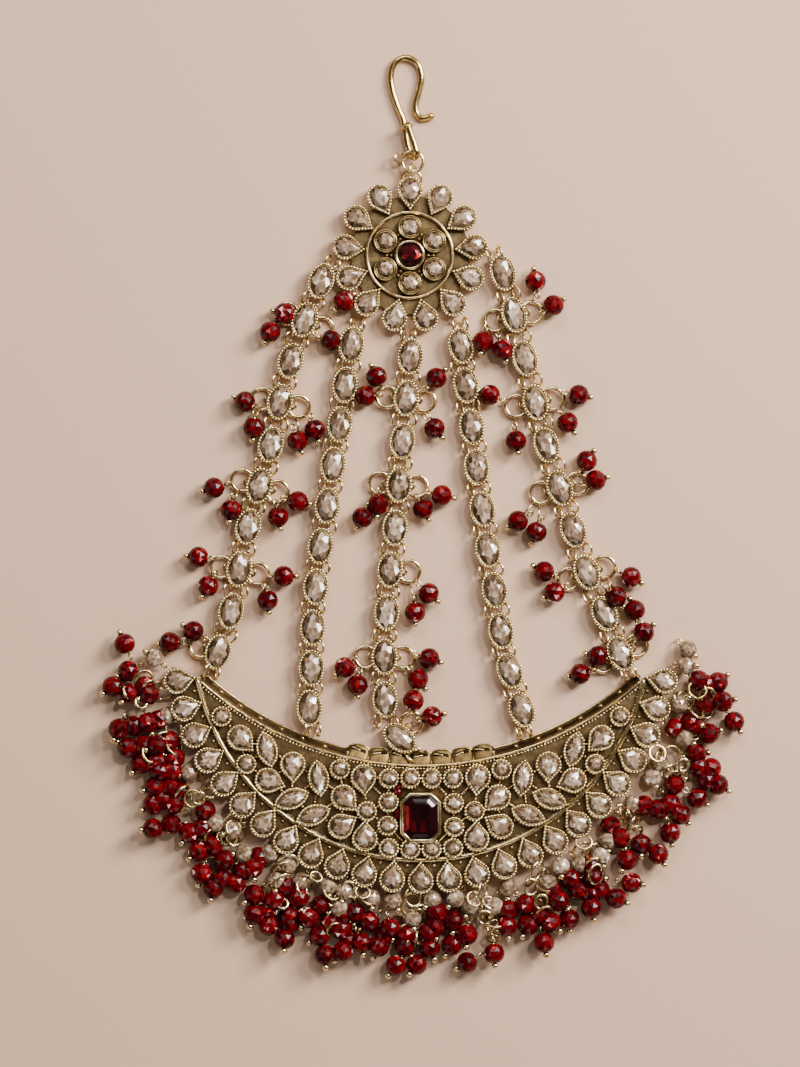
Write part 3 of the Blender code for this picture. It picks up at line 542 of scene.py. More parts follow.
def pear_outline(size, count):
    length, width = size
    bulge = width / 2
    tip = length - bulge
    tangent = math.acos(min(bulge / tip, 1.0)) if tip > bulge else 0.0
    span = math.tau - 2 * tangent
    straight = max(count // 8, 1)
    steps = count - 2 * straight
    corner = np.array((tip, 0.0))
    arc = [np.array((math.cos(tangent + span * i / steps), math.sin(tangent + span * i / steps))) * bulge
           for i in range(steps + 1)]
    there = [corner + (arc[0] - corner) * i / straight for i in range(straight)]
    back = [arc[-1] + (corner - arc[-1]) * i / straight for i in range(1, straight)]
    return np.array(there + arc + back)


def marquise_outline(size, count):
    length, width = size
    radius = (length ** 2 + width ** 2) / (4 * width)
    half = math.asin(length / 2 / radius)
    side = [(radius * math.sin(half - 4 * half * i / count),
             radius * math.cos(half - 4 * half * i / count) - radius + width / 2) for i in range(count // 2)]
    return np.array(side + [(-x, -y) for x, y in side])


def octagon_outline(width, length, corner):
    x, y = width / 2, length / 2
    return np.array([(x, -y + corner), (x, y - corner), (x - corner, y), (-x + corner, y),
                     (-x, y - corner), (-x, -y + corner), (-x + corner, -y), (x - corner, -y)])


def inset(outline, depth):
    """The outline moved inwards by a depth, mitred at its corners."""
    ahead = np.roll(outline, -1, 0) - outline
    ahead /= np.linalg.norm(ahead, axis=1)[:, None] + 1e-9
    normal = np.stack((ahead[:, 1], -ahead[:, 0]), 1)
    before = np.roll(normal, 1, 0)
    mitre = normal + before
    mitre /= np.maximum((mitre * mitre).sum(1) / 2, 0.35)[:, None]
    return outline - mitre * depth


def evenly(outline, pitch):
    """Points at an even pitch along a closed outline."""
    closed = np.concatenate((outline, outline[:1]))
    lengths = np.concatenate(((0.0,), np.cumsum(np.linalg.norm(np.diff(closed, axis=0), axis=1))))
    count = max(int(round(lengths[-1] / pitch)), 3)
    wanted = np.arange(count) * lengths[-1] / count
    return np.stack((np.interp(wanted, lengths, closed[:, 0]), np.interp(wanted, lengths, closed[:, 1])), 1)


def lift(outline, height):
    return np.column_stack((outline, np.full(len(outline), height)))


def add_profile(piece, outline, profile, matrix, slot=0, smooth=True):
    """A wall that follows an outline: its profile is (inset, height) from outside to inside."""
    rows = [lift(inset(outline, depth), height) for depth, height in profile]
    piece.add(turned(np.concatenate(rows), matrix), bridge(len(rows), len(outline)), slot, smooth)


CUTS = {
    "oval": lambda size, count: oval_outline(size, count),
    "round": lambda size, count: round_outline(size[0], count),
    "pear": lambda size, count: pear_outline(size, count),
    "marquise": lambda size, count: marquise_outline(size, count),
}
CENTRES = {"oval": 0.0, "round": 0.0, "pear": 0.12, "marquise": 0.0}


def add_cut_stone(piece, kind, size, girdle, rise, matrix, dice, slot=0, table=0.5, glints=True):
    """A brilliant crown: table, star, kite and girdle facets, each with a shade of its own.

    The light stands at the upper right, so a facet or two on that side is painted with a flash, and those across from
    it with a little painted glow from inside.
    """
    count = 16 if kind == "marquise" else 8
    full = CUTS[kind](size, 4 * count)
    centre = np.array((CENTRES[kind] * size[0], 0.0))
    base = full[::2]
    middle = (full[2::4] - centre) * 0.5 * (1 + table) + centre
    top = (full[::4] - centre) * table + centre
    points = np.concatenate((lift(base, girdle), lift(middle, girdle + 0.62 * rise), lift(top, girdle + rise)))
    points = np.concatenate((points, [(centre[0], centre[1], girdle + rise)]))
    m, t = 2 * count, 3 * count
    spin = math.atan2(matrix[1][0], matrix[0][0])
    flash = dice.gauss(GLINT_TURN, 0.5)
    tone = dice.uniform(-0.08, 0.12)
    faces, shades = [], []
    for i in range(count):
        j = (i + 1) % count
        h = (i - 1) % count
        out = middle[i] - centre
        off = abs((math.atan2(out[1], out[0]) + spin - flash + math.pi) % math.tau - math.pi)
        near = max(0.0, 1 - off / 0.7) if glints else 0.0
        far = max(0.0, (off - 2.2) / 0.9)
        faces += [(4 * count, t + i, t + j), (t + i, m + i, t + j), (t + i, m + h, 2 * i, m + i),
                  (m + i, 2 * i, 2 * i + 1), (m + i, 2 * i + 1, (2 * i + 2) % m)]
        # Painted reflections: each facet's shade is random, raised near the painted flash and, less, in the painted
        # glow across from it.
        shades += [0.52 + tone + dice.uniform(-0.2, 0.2), dice.uniform(0.3, 0.75) + tone + 0.6 * near + 0.1 * far,
                   dice.uniform(0.12, 0.62) + tone + 0.8 * near + 0.15 * far,
                   dice.uniform(0.0, 0.42) + 0.2 * near, dice.uniform(0.0, 0.42) + 0.2 * near]
    piece.add(turned(points, matrix), faces, slot, False, shades)


def add_setting(metal, stones, kind, size, foot, rim, matrix, dice, milgrain=True, wall=0.68):
    """One stone in its cup: a grained edge, a groove and a thin inner bezel round the stone."""
    outline = CUTS[kind](size, 40)
    if milgrain:
        profile = ((0.2, foot), (0.2, rim - 0.2), (0.3, rim - 0.05), (0.38, rim - 0.22), (0.44, rim - 0.12),
                   (0.5, rim + 0.1), (0.58, rim + 0.12), (wall, rim), (wall + 0.04, rim - 0.35))
        spots = lift(evenly(inset(outline, MILGRAIN * 0.8), MILGRAIN_PITCH), rim - 0.03)
        add_grains(metal, turned(spots, matrix), MILGRAIN, 1)
    else:
        profile = ((0.02, foot), (0.02, rim - 0.1), (0.1, rim + 0.05), (0.2, rim + 0.05), (0.28, rim - 0.15),
                   (0.38, rim - 0.15), (0.43, rim + 0.08), (0.52, rim + 0.08), (wall - 0.06, rim - 0.05),
                   (wall - 0.04, rim - 0.35))
    add_profile(metal, outline, profile, matrix)
    point = 0.1 if kind == "pear" else 0.0
    opening = (size[0] - 2 * wall - point, size[1] - 2 * wall)
    add_cut_stone(stones, kind, opening, rim - 0.08, STONE_RISE, matrix, dice)


def outline_reach(kind, size, direction):
    """How far a setting's outline reaches from its centre in a direction of its own frame."""
    outline = CUTS[kind](size, 40)
    turns = np.arctan2(outline[:, 1], outline[:, 0])
    nearest = np.argmin(np.abs((turns - direction + math.pi) % math.tau - math.pi))
    return float(np.linalg.norm(outline[nearest]))


def bead_mesh():
    """A faceted bead about the Z axis: rows of facets and two flat ends round its hole."""
    columns = 12
    tilts = (-64, -38, -12, 12, 38, 64)
    points = []
    for r, tilt in enumerate(tilts):
        tilt = math.radians(tilt)
        for c in range(columns):
            turn = math.tau * (c + 0.5 * (r % 2)) / columns
            points.append((math.cos(tilt) * math.cos(turn), math.cos(tilt) * math.sin(turn), 0.97 * math.sin(tilt)))
    faces = []
    for r in range(len(tilts) - 1):
        for c in range(columns):
            d = (c + 1) % columns
            a, b = r * columns + c, r * columns + d
            e, f = a + columns, b + columns
            faces += [(a, b, e), (b, f, e)] if r % 2 == 0 else [(a, b, f), (a, f, e)]
    last = (len(tilts) - 1) * columns
    faces += [tuple(reversed(range(columns))), tuple(last + c for c in range(columns))]
    return np.array(points) * 1.05, faces


BEAD = bead_mesh()


def aim(spot, direction, roll=0.0):
    """A matrix at a spot whose Z runs along a direction."""
    turn = Vector(direction).to_track_quat("Z", "Y").to_matrix().to_4x4()
    return Matrix.Translation(spot) @ turn @ Matrix.Rotation(roll, 4, "Z")


def add_bead(piece, spot, diameter, direction, dice, slot=0):
    points, faces = BEAD
    tone = dice.uniform(-0.1, 0.12)
    # Painted reflections: each facet of the bead gets a random shade of its own.
    shades = [dice.triangular(0.12, 0.9, 0.46) + tone for _ in faces]
    place = Vector((spot[0], spot[1], max(spot[2], diameter * BEAD_SWELL / 2)))
    matrix = aim(place, direction, dice.uniform(0, math.pi))
    piece.add(turned(points * diameter / 2, matrix), faces, slot, False, shades)


def add_headpin(piece, spot, direction, bead, dice, slot=0):
    """The ball end past a bead, the wire at its hole and the loop behind it."""
    ahead = Vector(direction).normalized()
    spot = Vector(spot)
    add_ball(piece, spot + ahead * (bead / 2 + BALL_END * 0.3), BALL_END / 2, slot)
    behind = spot - ahead * (bead / 2 + 0.1)
    add_tube(piece, [spot - ahead * bead * 0.35, behind], 0.4, slot, 6)
    loop = behind - ahead * 0.6
    side = Vector((-ahead.y, ahead.x, dice.uniform(0.2, 1.0))).normalized()
    add_ring(piece, 1.5, 0.36, aim(loop, side), slot, 14, 6)


# Places

def at_pixel(pixel, height=0.0):
    return Vector(((pixel[0] - ORIGIN_PIXEL[0]) * PIXEL, (ORIGIN_PIXEL[1] - pixel[1]) * PIXEL, height))


def on_circle(centre, radius, turn):
    """A point at a turn from straight down, to the right."""
    return centre + Vector((math.sin(turn), -math.cos(turn))) * radius


def strand_places(strand):
    """Each setting's spot and direction, evenly along the strand's route."""
    path = smooth_path([(x, y, 0) for x, y in strand["route"]], 80)
    lengths = [0.0]
    for start, end in zip(path, path[1:]):
        lengths.append(lengths[-1] + (end - start).length)
    places = []
    for n in range(OVAL_COUNT):
        wanted = lengths[-1] * n / (OVAL_COUNT - 1)
        i = min(max(sum(length < wanted for length in lengths), 1), len(path) - 2)
        ahead = path[i + 1] - path[i - 1]
        places.append([path[i].to_2d(), math.atan2(ahead.y, ahead.x)])
    places[-1][1] -= math.radians(strand["lean"])
    return places


def beside(place, along, across):
    spot, turn = place
    ahead = Vector((math.cos(turn), math.sin(turn)))
    return spot + ahead * along + Vector((-ahead.y, ahead.x)) * across


# Strands

def build_strand(number, strand, dice):
    metal = Piece("strand_%d_settings" % number, ANTIQUE, BRIGHT)
    stones = Piece("strand_%d_stones" % number, CLEAR)
    links = Piece("strand_%d_rings" % number, BRIGHT, ANTIQUE)
    places = strand_places(strand)
    for place in places:
        tilt = Matrix.Rotation(dice.uniform(-0.05, 0.05), 4, "X") @ Matrix.Rotation(dice.uniform(-0.04, 0.04), 4, "Y")
        matrix = stand(place[0], place[1] + dice.uniform(-0.03, 0.03)) @ tilt
        add_setting(metal, stones, "oval", OVAL, 0.2, OVAL_RIM, matrix, dice)
        back = oval_outline((OVAL[0] - 0.5, OVAL[1] - 0.5), 40)
        metal.add(turned(np.concatenate((lift(back, 0.12), lift(back, OVAL_RIM - 0.7))), matrix),
                  bridge(2, 40) + [tuple(reversed(range(40))), tuple(range(40, 80))], 0, False)
    for here, after in zip(places, places[1:]):
        middle = (beside(here, OVAL[0] / 2, 0) + beside(after, -OVAL[0] / 2, 0)) / 2
        ahead = beside(after, -OVAL[0] / 2, 0) - beside(here, OVAL[0] / 2, 0)
        turn = math.atan2(ahead.y, ahead.x)
        for side in (-1, 1):
            wobble = dice.uniform(-0.15, 0.15)
            ring = stand(middle, turn, 1.2) @ Matrix.Translation((0, side * JOINT_RING_REACH, 0)) \
                @ Matrix.Rotation(math.radians(48) * side + wobble, 4, "X") @ Matrix.Rotation(wobble, 4, "Z")
            add_ring(links, JOINT_RING, 0.5, ring, 0, 24, 8, 1.2)
            for end in (-1, 1):
                eye = stand(middle, turn, 0.9) @ Matrix.Translation((end * 1.15, side * 1.2, 0))
                add_ball(links, tuple(eye.translation), 0.42, 1)
    for n, side in sorted({(n, side) for s, n, side, *_ in DROPS if s == number}):
        spot = beside(places[n - 1], dice.uniform(-0.2, 0.2), side * SIDE_RING_REACH)
        lean = Matrix.Rotation(dice.uniform(-0.12, 0.12), 4, "X") @ Matrix.Rotation(dice.uniform(-0.12, 0.12), 4, "Y")
        add_ring(links, SIDE_RING, SIDE_RING_WIRE, stand(spot, 0, 0.75) @ lean, 0, 32, 10)
        eye = beside(places[n - 1], 0, side * (OVAL[1] / 2 - 0.1))
        add_ring(links, 1.9, 0.5, stand(eye, places[n - 1][1], 1.0) @ Matrix.Rotation(0.6 * side, 4, "X"), 1, 18, 6)
    for end, place, shift in ((-1, places[0], strand["top"]), (1, places[-1], strand["foot"])):
        for side in (-1, 1):
            across = shift * OVAL[1] / 2 + side * 0.95
            spot = beside(place, end * (OVAL[0] / 2 + 0.35), across)
            ring = stand(spot, place[1], 1.4) @ Matrix.Rotation(math.radians(70) * side, 4, "X")
            add_ring(links, 2.5, 0.52, ring, 0, 24, 8, 1.15)
    metal.finish(["strand_%d" % number])
    stones.finish()
    links.finish()


def build_drops(dice):
    beads = Piece("drop_beads", RED)
    pins = Piece("drop_pins", BRIGHT)
    for strand_number, n, side, *spots in DROPS:
        place = strand_places(STRANDS[strand_number - 1])[n - 1]
        ring = beside(place, 0, side * SIDE_RING_REACH)
        for pixel in spots:
            spot = at_pixel(pixel, RED_BEAD / 2)
            away = spot.to_2d() - ring
            if away.length < SIDE_RING * 0.7:
                away = spot.to_2d() - place[0]
            away = Matrix.Rotation(dice.uniform(-0.35, 0.35), 2) @ away.normalized()
            direction = (away.x, away.y, dice.uniform(-0.2, 0.1))
            add_bead(beads, spot, RED_BEAD, direction, dice)
            add_headpin(pins, spot, direction, RED_BEAD, dice)
            reach = ring - spot.to_2d()
            if reach.length > SIDE_RING:
                start = spot + Vector((reach.x, reach.y, 0)).normalized() * RED_BEAD / 2
                goal = Vector((*(ring - reach.normalized() * SIDE_RING * 0.4), 0.9))
                add_tube(pins, [tuple(start), tuple((start + goal) / 2 + Vector((0, 0, 0.2))), tuple(goal)], 0.36, 0, 6)
    beads.finish(["drop_%02d" % (i + 1) for i in range(len(DROPS))])
    pins.finish()


# Medallion and hook

def build_medallion(dice):
    metal = Piece("medallion_settings", ANTIQUE, BRIGHT, PLATE)
    stones = Piece("medallion_clear_stones", CLEAR)
    disc = round_outline(2 * DISC_SEEN, 72)
    add_profile(metal, disc, ((0, 0.05), (0, DISC_TOP - 0.15), (0.15, DISC_TOP)), stand((0, 0)), 2)
    metal.add(lift(inset(disc, 0.15), DISC_TOP), [tuple(range(72))], 2, False)
    metal.add(lift(disc, 0.05), [tuple(reversed(range(72)))], 2, False)
    for k in range(PETAL_COUNT):
        turn = math.pi / 2 - math.tau * k / PETAL_COUNT
        spot = Vector((math.cos(turn), math.sin(turn))) * PETAL_RADIUS
        matrix = stand(spot, turn + math.pi)
        add_setting(metal, stones, "pear", PETAL, 0.3, MEDALLION_RIM, matrix, dice)
        back = pear_outline((PETAL[0] - 0.4, PETAL[1] - 0.4), 40)
        metal.add(turned(np.concatenate((lift(back, 0.25), lift(back, MEDALLION_RIM - 0.6))), matrix),
                  bridge(2, 40) + [tuple(reversed(range(40))), tuple(range(40, 80))], 0, False)
    for k in range(SMALL_COUNT):
        turn = math.pi / 2 + math.tau * k / SMALL_COUNT
        spot = Vector((math.cos(turn), math.sin(turn))) * SMALL_RADIUS
        add_setting(metal, stones, "round", (SMALL_ROUND, SMALL_ROUND), DISC_TOP - 0.2, MEDALLION_RIM,
                    stand(spot, turn), dice, milgrain=False)
        gap = turn + math.pi / SMALL_COUNT
        for reach in (3.35, 4.2):
            spot = (math.cos(gap) * reach, math.sin(gap) * reach, DISC_TOP + 0.25)
            add_grains(metal, [spot], 0.33, 0)
    add_ring(metal, 2 * RING_RADIUS + RING_WIRE, RING_WIRE, stand((0, 0), 0, DISC_TOP + 0.55), 1, 96, 10)
    ring_grains = lift(evenly(round_outline(2 * RING_RADIUS, 96), 0.45), DISC_TOP + 0.8)
    add_grains(metal, ring_grains, 0.15, 1)
    bezel = round_outline(2 * CENTRE_BEZEL, 40)
    add_profile(metal, bezel, ((0, DISC_TOP - 0.2), (0, 2.1), (0.1, 2.3), (0.3, 2.4), (0.5, 2.3), (0.62, 2.0)),
                stand((0, 0)), 1)
    centre = Piece("medallion_red_stone", GARNET)
    add_cut_stone(centre, "round", (CENTRE_STONE, CENTRE_STONE), 2.15, 0.7, stand((0, 0)), dice, 0, 0.6)
    metal.finish(["medallion"])
    stones.finish()
    centre.finish(["medallion_stone"])


def build_hook(dice):
    height = HOOK_WIRE / 2 + EYE_REST + (EYE_OPENING + HOOK_WIRE) / 2 * math.sin(EYE_TURN)
    ring_spot = Vector((HOOK_ASIDE, MEDALLION_EDGE + 0.5 + HOOK_RING / 2, height))
    base = ring_spot + Vector((0, (HOOK_RING - HOOK_RING_WIRE) / 2, 0))
    offset = (EYE_OPENING + HOOK_WIRE) / 2
    across = Vector((math.cos(EYE_TURN), 0, math.sin(EYE_TURN)))
    along = Vector((math.cos(EYE_LEAN), math.sin(EYE_LEAN), 0))
    bend = base + along * (offset - HOOK_RING_WIRE / 2 - 0.3 - HOOK_WIRE / 2)
    turns = [math.pi * i / 4 for i in range(5)]
    eye = [bend + across * offset * EYE_FOLD + along * EYE_LENGTH]
    eye += [bend + across * offset * math.cos(t) - along * offset * math.sin(t) for t in turns]
    eye.append(bend - across * offset + along * EYE_LENGTH * 0.3)
    low = Vector((base.x, base.y, HOOK_WIRE / 2))
    route = eye + [low + Vector((x * HOOK_LOOP, y * HOOK_LENGTH, 0)) for x, y in HOOK_SHAPE]
    wire = Piece("hook_wire", POLISHED)
    add_tube(wire, smooth_path(route, 8), HOOK_WIRE, 0, 14)
    add_ball(wire, tuple(route[-1] + Vector((0.1, 0, 0.1))), 0.72)
    add_ring(wire, 2.3, 0.75, aim(eye[0] - along * 0.7 - across * 0.3, along), 0, 20, 8)
    wire.finish(["hook"])
    rings = Piece("hook_rings", BRIGHT)
    add_ring(rings, HOOK_RING, HOOK_RING_WIRE, Matrix.Translation(ring_spot), 0, 36, 10)
    loop = Matrix.Translation((HOOK_ASIDE / 2, MEDALLION_EDGE - 0.45, 1.15)) @ Matrix.Rotation(0.12, 4, "X")
    add_ring(rings, 4.1, 0.6, loop, 0, 32, 10)
    twist = Matrix.Translation((HOOK_ASIDE, MEDALLION_EDGE + 1.3, 1.7)) @ Matrix.Rotation(0.9, 4, "Y")
    add_ring(rings, 2.3, 0.55, twist, 0, 24, 8)
    spare = Matrix.Translation((HOOK_ASIDE - 2.3, MEDALLION_EDGE + 3.3, 1.45)) @ Matrix.Rotation(0.8, 4, "Y")
    add_ring(rings, 2.4, 0.5, spare, 0, 24, 8, 1.3)
    rings.finish(["hook_ring"])


# Crescent

def inner_end(radius):
    """The turn about INNER where that circle meets the ridge's circle."""
    apart = INNER.y - CRESCENT.y
    return math.acos((apart ** 2 + radius ** 2 - RIDGE_RADIUS ** 2) / (2 * apart * radius))


def arc(centre, radius, start, end, count, height):
    spots = [on_circle(centre, radius, start + (end - start) * i / (count - 1)) for i in range(count)]
    return [(spot.x, spot.y, height) for spot in spots]


def field_places():
    """Kind, size, spot and turn of each stone on the plate, frame rounds included."""
    sizes = {"round": (FIELD_ROUND, FIELD_ROUND), "pear": FIELD_PEAR, "marquise": MARQUISE}
    rows = []
    for kind, turn, depth, point in FIELD:
        for side in (1, -1):
            spot = on_circle(CRESCENT, RIDGE_RADIUS - depth * FIELD_DEPTH, side * math.radians(turn))
            rows.append((kind, sizes[kind], spot, math.radians(point if side > 0 else 180 - point)))
    rows += [("round", sizes["round"], OCTAGON_PLACE + Vector(spot), 0.0) for spot in FRAME_ROUNDS]
    return rows


def join_grains(metal, rows):
    """Small grains on the plate where two neighbouring settings nearly meet."""
    for i, (kind, size, spot, turn) in enumerate(rows):
        for other_kind, other_size, other_spot, other_turn in rows[i + 1:]:
            apart = other_spot - spot
            if apart.length > 8:
                continue
            facing = math.atan2(apart.y, apart.x)
            start = outline_reach(kind, size, facing - turn)
            gap = apart.length - start - outline_reach(other_kind, other_size, facing + math.pi - other_turn)
            if 0.25 < gap < 2.2:
                count = max(1, round(gap / 0.5))
                for k in range(count):
                    here = spot + apart.normalized() * (start + gap * (k + 0.5) / count)
                    add_grains(metal, [(here.x, here.y, BODY_HEIGHT + 0.3)], 0.27, 1)


def build_plate(metal):
    count = 90
    end = EDGE_ROW_STEP * EDGE_ROW_COUNT / 2
    tip = inner_end(INNER_RADIUS)
    outer = arc(CRESCENT, BODY_RADIUS, -end, end, count, BODY_HEIGHT)
    inner = arc(INNER, INNER_RADIUS, tip, -tip, count, BODY_HEIGHT)
    top = outer + inner
    strip = outer + inner[::-1]
    metal.add(strip, [(i, i + 1, count + i + 1, count + i) for i in range(count - 1)], 2, False)
    foot = [(x, y, 0.05) for x, y, _ in outer] + arc(INNER, INNER_RADIUS + 0.5, tip, -tip, count, 0.05)
    metal.add(top + foot, bridge(2, 2 * count), 2, False)
    under = [(x, y, 1.35) for x, y, _ in outer] + [(x, y, 1.35) for x, y, _ in inner[::-1]]
    metal.add(under, [(i, count + i, count + i + 1, i + 1) for i in range(count - 1)], 2, False)


def gallery_strip(metal, start, end, top, bottom, slot):
    """A strip of the flared wall between two (radius, height) edges."""
    count = max(int(abs(end - start) * 60), 2) + 1
    points = arc(INNER, top[0], start, end, count, top[1]) + arc(INNER, bottom[0], start, end, count, bottom[1])
    metal.add(points, [(i, count + i, count + i + 1, i + 1) for i in range(count - 1)], slot, False)


def build_gallery(metal):
    """The flared wall of the inner edge: rails, posts with slots that show a liner of painted shadow behind, and the
    wavy middle, its S-shaped slots drawn as tubes of painted shadow.
    """
    tip = inner_end(INNER_RADIUS) * 0.985
    foot = INNER_RADIUS - FLARE
    upper, lower = (INNER_RADIUS - 0.5, 1.6), (foot + 0.5, 0.95)
    add_tube(metal, arc(INNER, INNER_RADIUS, -tip, tip, 120, BODY_HEIGHT + 0.1), 0.55, 1)
    grains = arc(INNER, INNER_RADIUS + 0.5, -tip, tip, int(2 * tip * INNER_RADIUS / 0.62), BODY_HEIGHT + 0.15)
    add_grains(metal, grains, 0.24, 1)
    gallery_strip(metal, -tip, tip, (INNER_RADIUS, BODY_HEIGHT), upper, 3)
    # A sheet of painted shadow under the posts, seen through the gaps between them.
    gallery_strip(metal, -tip, tip, (INNER_RADIUS - 0.4, 1.4), (foot + 0.2, 0.6), 4)
    for side in (-1, 1):
        gallery_strip(metal, side * WAVY_TURN, side * tip, lower, (foot, 0.25), 3)
        add_tube(metal, arc(INNER, foot + 0.15, side * WAVY_TURN, side * tip, 60, 0.55), 0.5, 1)
        posts = int((tip - WAVY_TURN) * foot / POST_PITCH)
        for k in range(posts + 1):
            turn = WAVY_TURN + (tip - WAVY_TURN) * k / posts
            half = POST_WIDTH / 2 / foot
            gallery_strip(metal, side * turn - half, side * turn + half, upper, lower, 3)
            spot = on_circle(INNER, foot + 0.75, side * turn)
            add_grains(metal, [(spot.x, spot.y, 1.5)], 0.3, 1)
    scallops = round(2 * WAVY_TURN * foot / WAVE_PITCH)
    steps = scallops * WAVE_STEPS
    rows = [[], [], []]
    for i in range(steps + 1):
        turn = -WAVY_TURN + 2 * WAVY_TURN * i / steps
        swing = abs(math.sin(math.pi * i / WAVE_STEPS)) ** 0.6
        edge = foot - 0.3 - WAVE_DEPTH * swing
        for row, radius, height in zip(rows, (INNER_RADIUS - 0.2, INNER_RADIUS - 1.1 + 0.35 * (1 - swing), edge),
                                       (BODY_HEIGHT, BODY_HEIGHT - 0.25 - 0.5 * (1 - swing), 1.15)):
            spot = on_circle(INNER, radius, turn)
            row.append((spot.x, spot.y, height))
    wall = [(r * (steps + 1) + i, (r + 1) * (steps + 1) + i, (r + 1) * (steps + 1) + i + 1, r * (steps + 1) + i + 1)
            for r in range(2) for i in range(steps)]
    metal.add(rows[0] + rows[1] + rows[2], wall, 3)
    add_tube(metal, rows[2], 0.4, 0)
    for i in range(0, steps + 1, WAVE_STEPS):
        add_tube(metal, [row[i] for row in rows], 0.42, 3, 6)
    for k in range(scallops):
        slot = []
        for i in range(SLOT_STEPS + 1):
            share = SLOT_START + (1 - 2 * SLOT_START) * i / SLOT_STEPS
            turn = -WAVY_TURN + 2 * WAVY_TURN * (k + share) / scallops
            swing = SLOT_SWING * math.cos(math.pi * share) * (1 if k % 2 else -1)
            spot = on_circle(INNER, foot - 0.15 + swing, turn)
            slot.append((spot.x, spot.y, 1.5))
        # Each S-shaped slot is a dark tube of painted shadow, with a bright wire along part of it.
        add_tube(metal, slot, 0.75, 4)
        add_tube(metal, [(x, y, z + 0.3) for x, y, z in slot[:SLOT_STEPS * 3 // 4]], 0.32, 1)


def build_crescent(dice):
    metal = Piece("crescent_settings", ANTIQUE, BRIGHT, PLATE, WALL, SHADE)
    stones = Piece("crescent_clear_stones", CLEAR)
    build_plate(metal)
    build_gallery(metal)
    rows = field_places()
    for kind, size, spot, turn in rows:
        add_setting(metal, stones, kind, size, BODY_HEIGHT - 0.1, RIM, stand(spot, turn), dice)
    join_grains(metal, rows)
    for k in range(EDGE_ROW_COUNT):
        turn = (k - (EDGE_ROW_COUNT - 1) / 2) * EDGE_ROW_STEP
        matrix = stand(on_circle(CRESCENT, EDGE_ROW_RADIUS, turn), turn + math.pi / 2)
        add_setting(metal, stones, "pear", EDGE_PEAR, 0.4, RIM, matrix, dice)
        back = pear_outline((EDGE_PEAR[0] - 0.4, EDGE_PEAR[1] - 0.4), 40)
        metal.add(turned(np.concatenate((lift(back, 0.35), lift(back, RIM - 0.6))), matrix),
                  bridge(2, 40) + [tuple(reversed(range(40))), tuple(range(40, 80))], 0, False)
        if k:
            between = on_circle(CRESCENT, RIDGE_RADIUS + 1.05, turn - EDGE_ROW_STEP / 2)
            add_grains(metal, [(between.x, between.y, BODY_HEIGHT + 0.2)], 0.33, 0)
    tip = on_circle(INNER, INNER_RADIUS, inner_end(INNER_RADIUS)) - CRESCENT
    end = math.atan2(tip.x, -tip.y)
    add_tube(metal, arc(CRESCENT, RIDGE_RADIUS, -end, end, 140, BODY_HEIGHT + 0.55), RIDGE_WIRE, 1, 10)
    for reach in (-0.38, 0.38):
        along = arc(CRESCENT, RIDGE_RADIUS + reach, -end, end, int(2 * end * RIDGE_RADIUS / 0.5), BODY_HEIGHT + 0.42)
        add_grains(metal, along, 0.16, 1)
    metal.finish(["crescent"])
    stones.finish()
    build_octagon(dice)


def build_octagon(dice):
    """Smooth bezel and an emerald-cut garnet with stepped facets and a broad table."""
    bezel = Piece("octagon_bezel", BRIGHT)
    matrix = stand(OCTAGON_PLACE)
    outer = octagon_outline(OCTAGON[0] + 1.1, OCTAGON[1] + 1.1, OCTAGON_CORNER + 0.3)
    add_profile(bezel, outer, ((0, BODY_HEIGHT - 0.1), (0, OCTAGON_RIM - 0.15), (0.12, OCTAGON_RIM + 0.02),
                               (0.35, OCTAGON_RIM + 0.08), (0.6, OCTAGON_RIM), (0.75, OCTAGON_RIM - 0.3)), matrix)
    bezel.finish()
    stone = Piece("crescent_garnet", GARNET)
    rings = []
    for depth, height in ((0.0, -0.1), (0.55, 0.35), (1.05, 0.62), (1.45, 0.75)):
        corner = OCTAGON_CORNER - depth * 0.45
        rings.append(lift(octagon_outline(OCTAGON[0] - 2 * depth, OCTAGON[1] - 2 * depth, corner), OCTAGON_RIM + height))
    # Painted light on the garnet's steps: a shade for each facet, brighter down the left side, and a painted white
    # glint at the top right corner.
    step_shades = ((0.25, 0.3, 0.1, 0.15, 0.72, 0.45, 0.25, 0.25), (0.2, 1.0, 0.05, 0.4, 0.76, 0.25, 0.3, 0.15),
                   (0.1, 0.35, 0.25, 0.1, 0.55, 0.3, 0.15, 0.25))
    shades = [shade for row in step_shades for shade in row]
    stone.add(turned(np.concatenate(rings), matrix), bridge(4, 8), 0, False, shades)
    width, length = OCTAGON[0] - 2.9, OCTAGON[1] - 2.9
    across, down = 4, 5
    points = [(width * (i / across - 0.5), length * (j / down - 0.5), OCTAGON_RIM + 0.75)
              for j in range(down + 1) for i in range(across + 1)]
    tiles = [(j * (across + 1) + i, j * (across + 1) + i + 1, (j + 1) * (across + 1) + i + 1, (j + 1) * (across + 1) + i)
             for j in range(down) for i in range(across)]
    # Painted inner reflection: the table's tiles are brighter towards the lower left.
    glow = [max(0.0, 0.5 - 0.06 * i - 0.1 * j + dice.uniform(-0.2, 0.2)) for j in range(down) for i in range(across)]
    stone.add(turned(points, matrix), tiles, 0, False, glow)
    stone.finish(["crescent_stone"])
    glints = Piece("octagon_red_glints", RED)
    for x, y in RED_GLINTS:
        spot = OCTAGON_PLACE + Vector((x, y))
        for shift in (-0.35, 0.4):
            add_bead(glints, (spot.x, spot.y + shift, BODY_HEIGHT + 0.3), 1.45, (shift, 1.0, 0.2), dice)
    glints.finish()


# Fringe

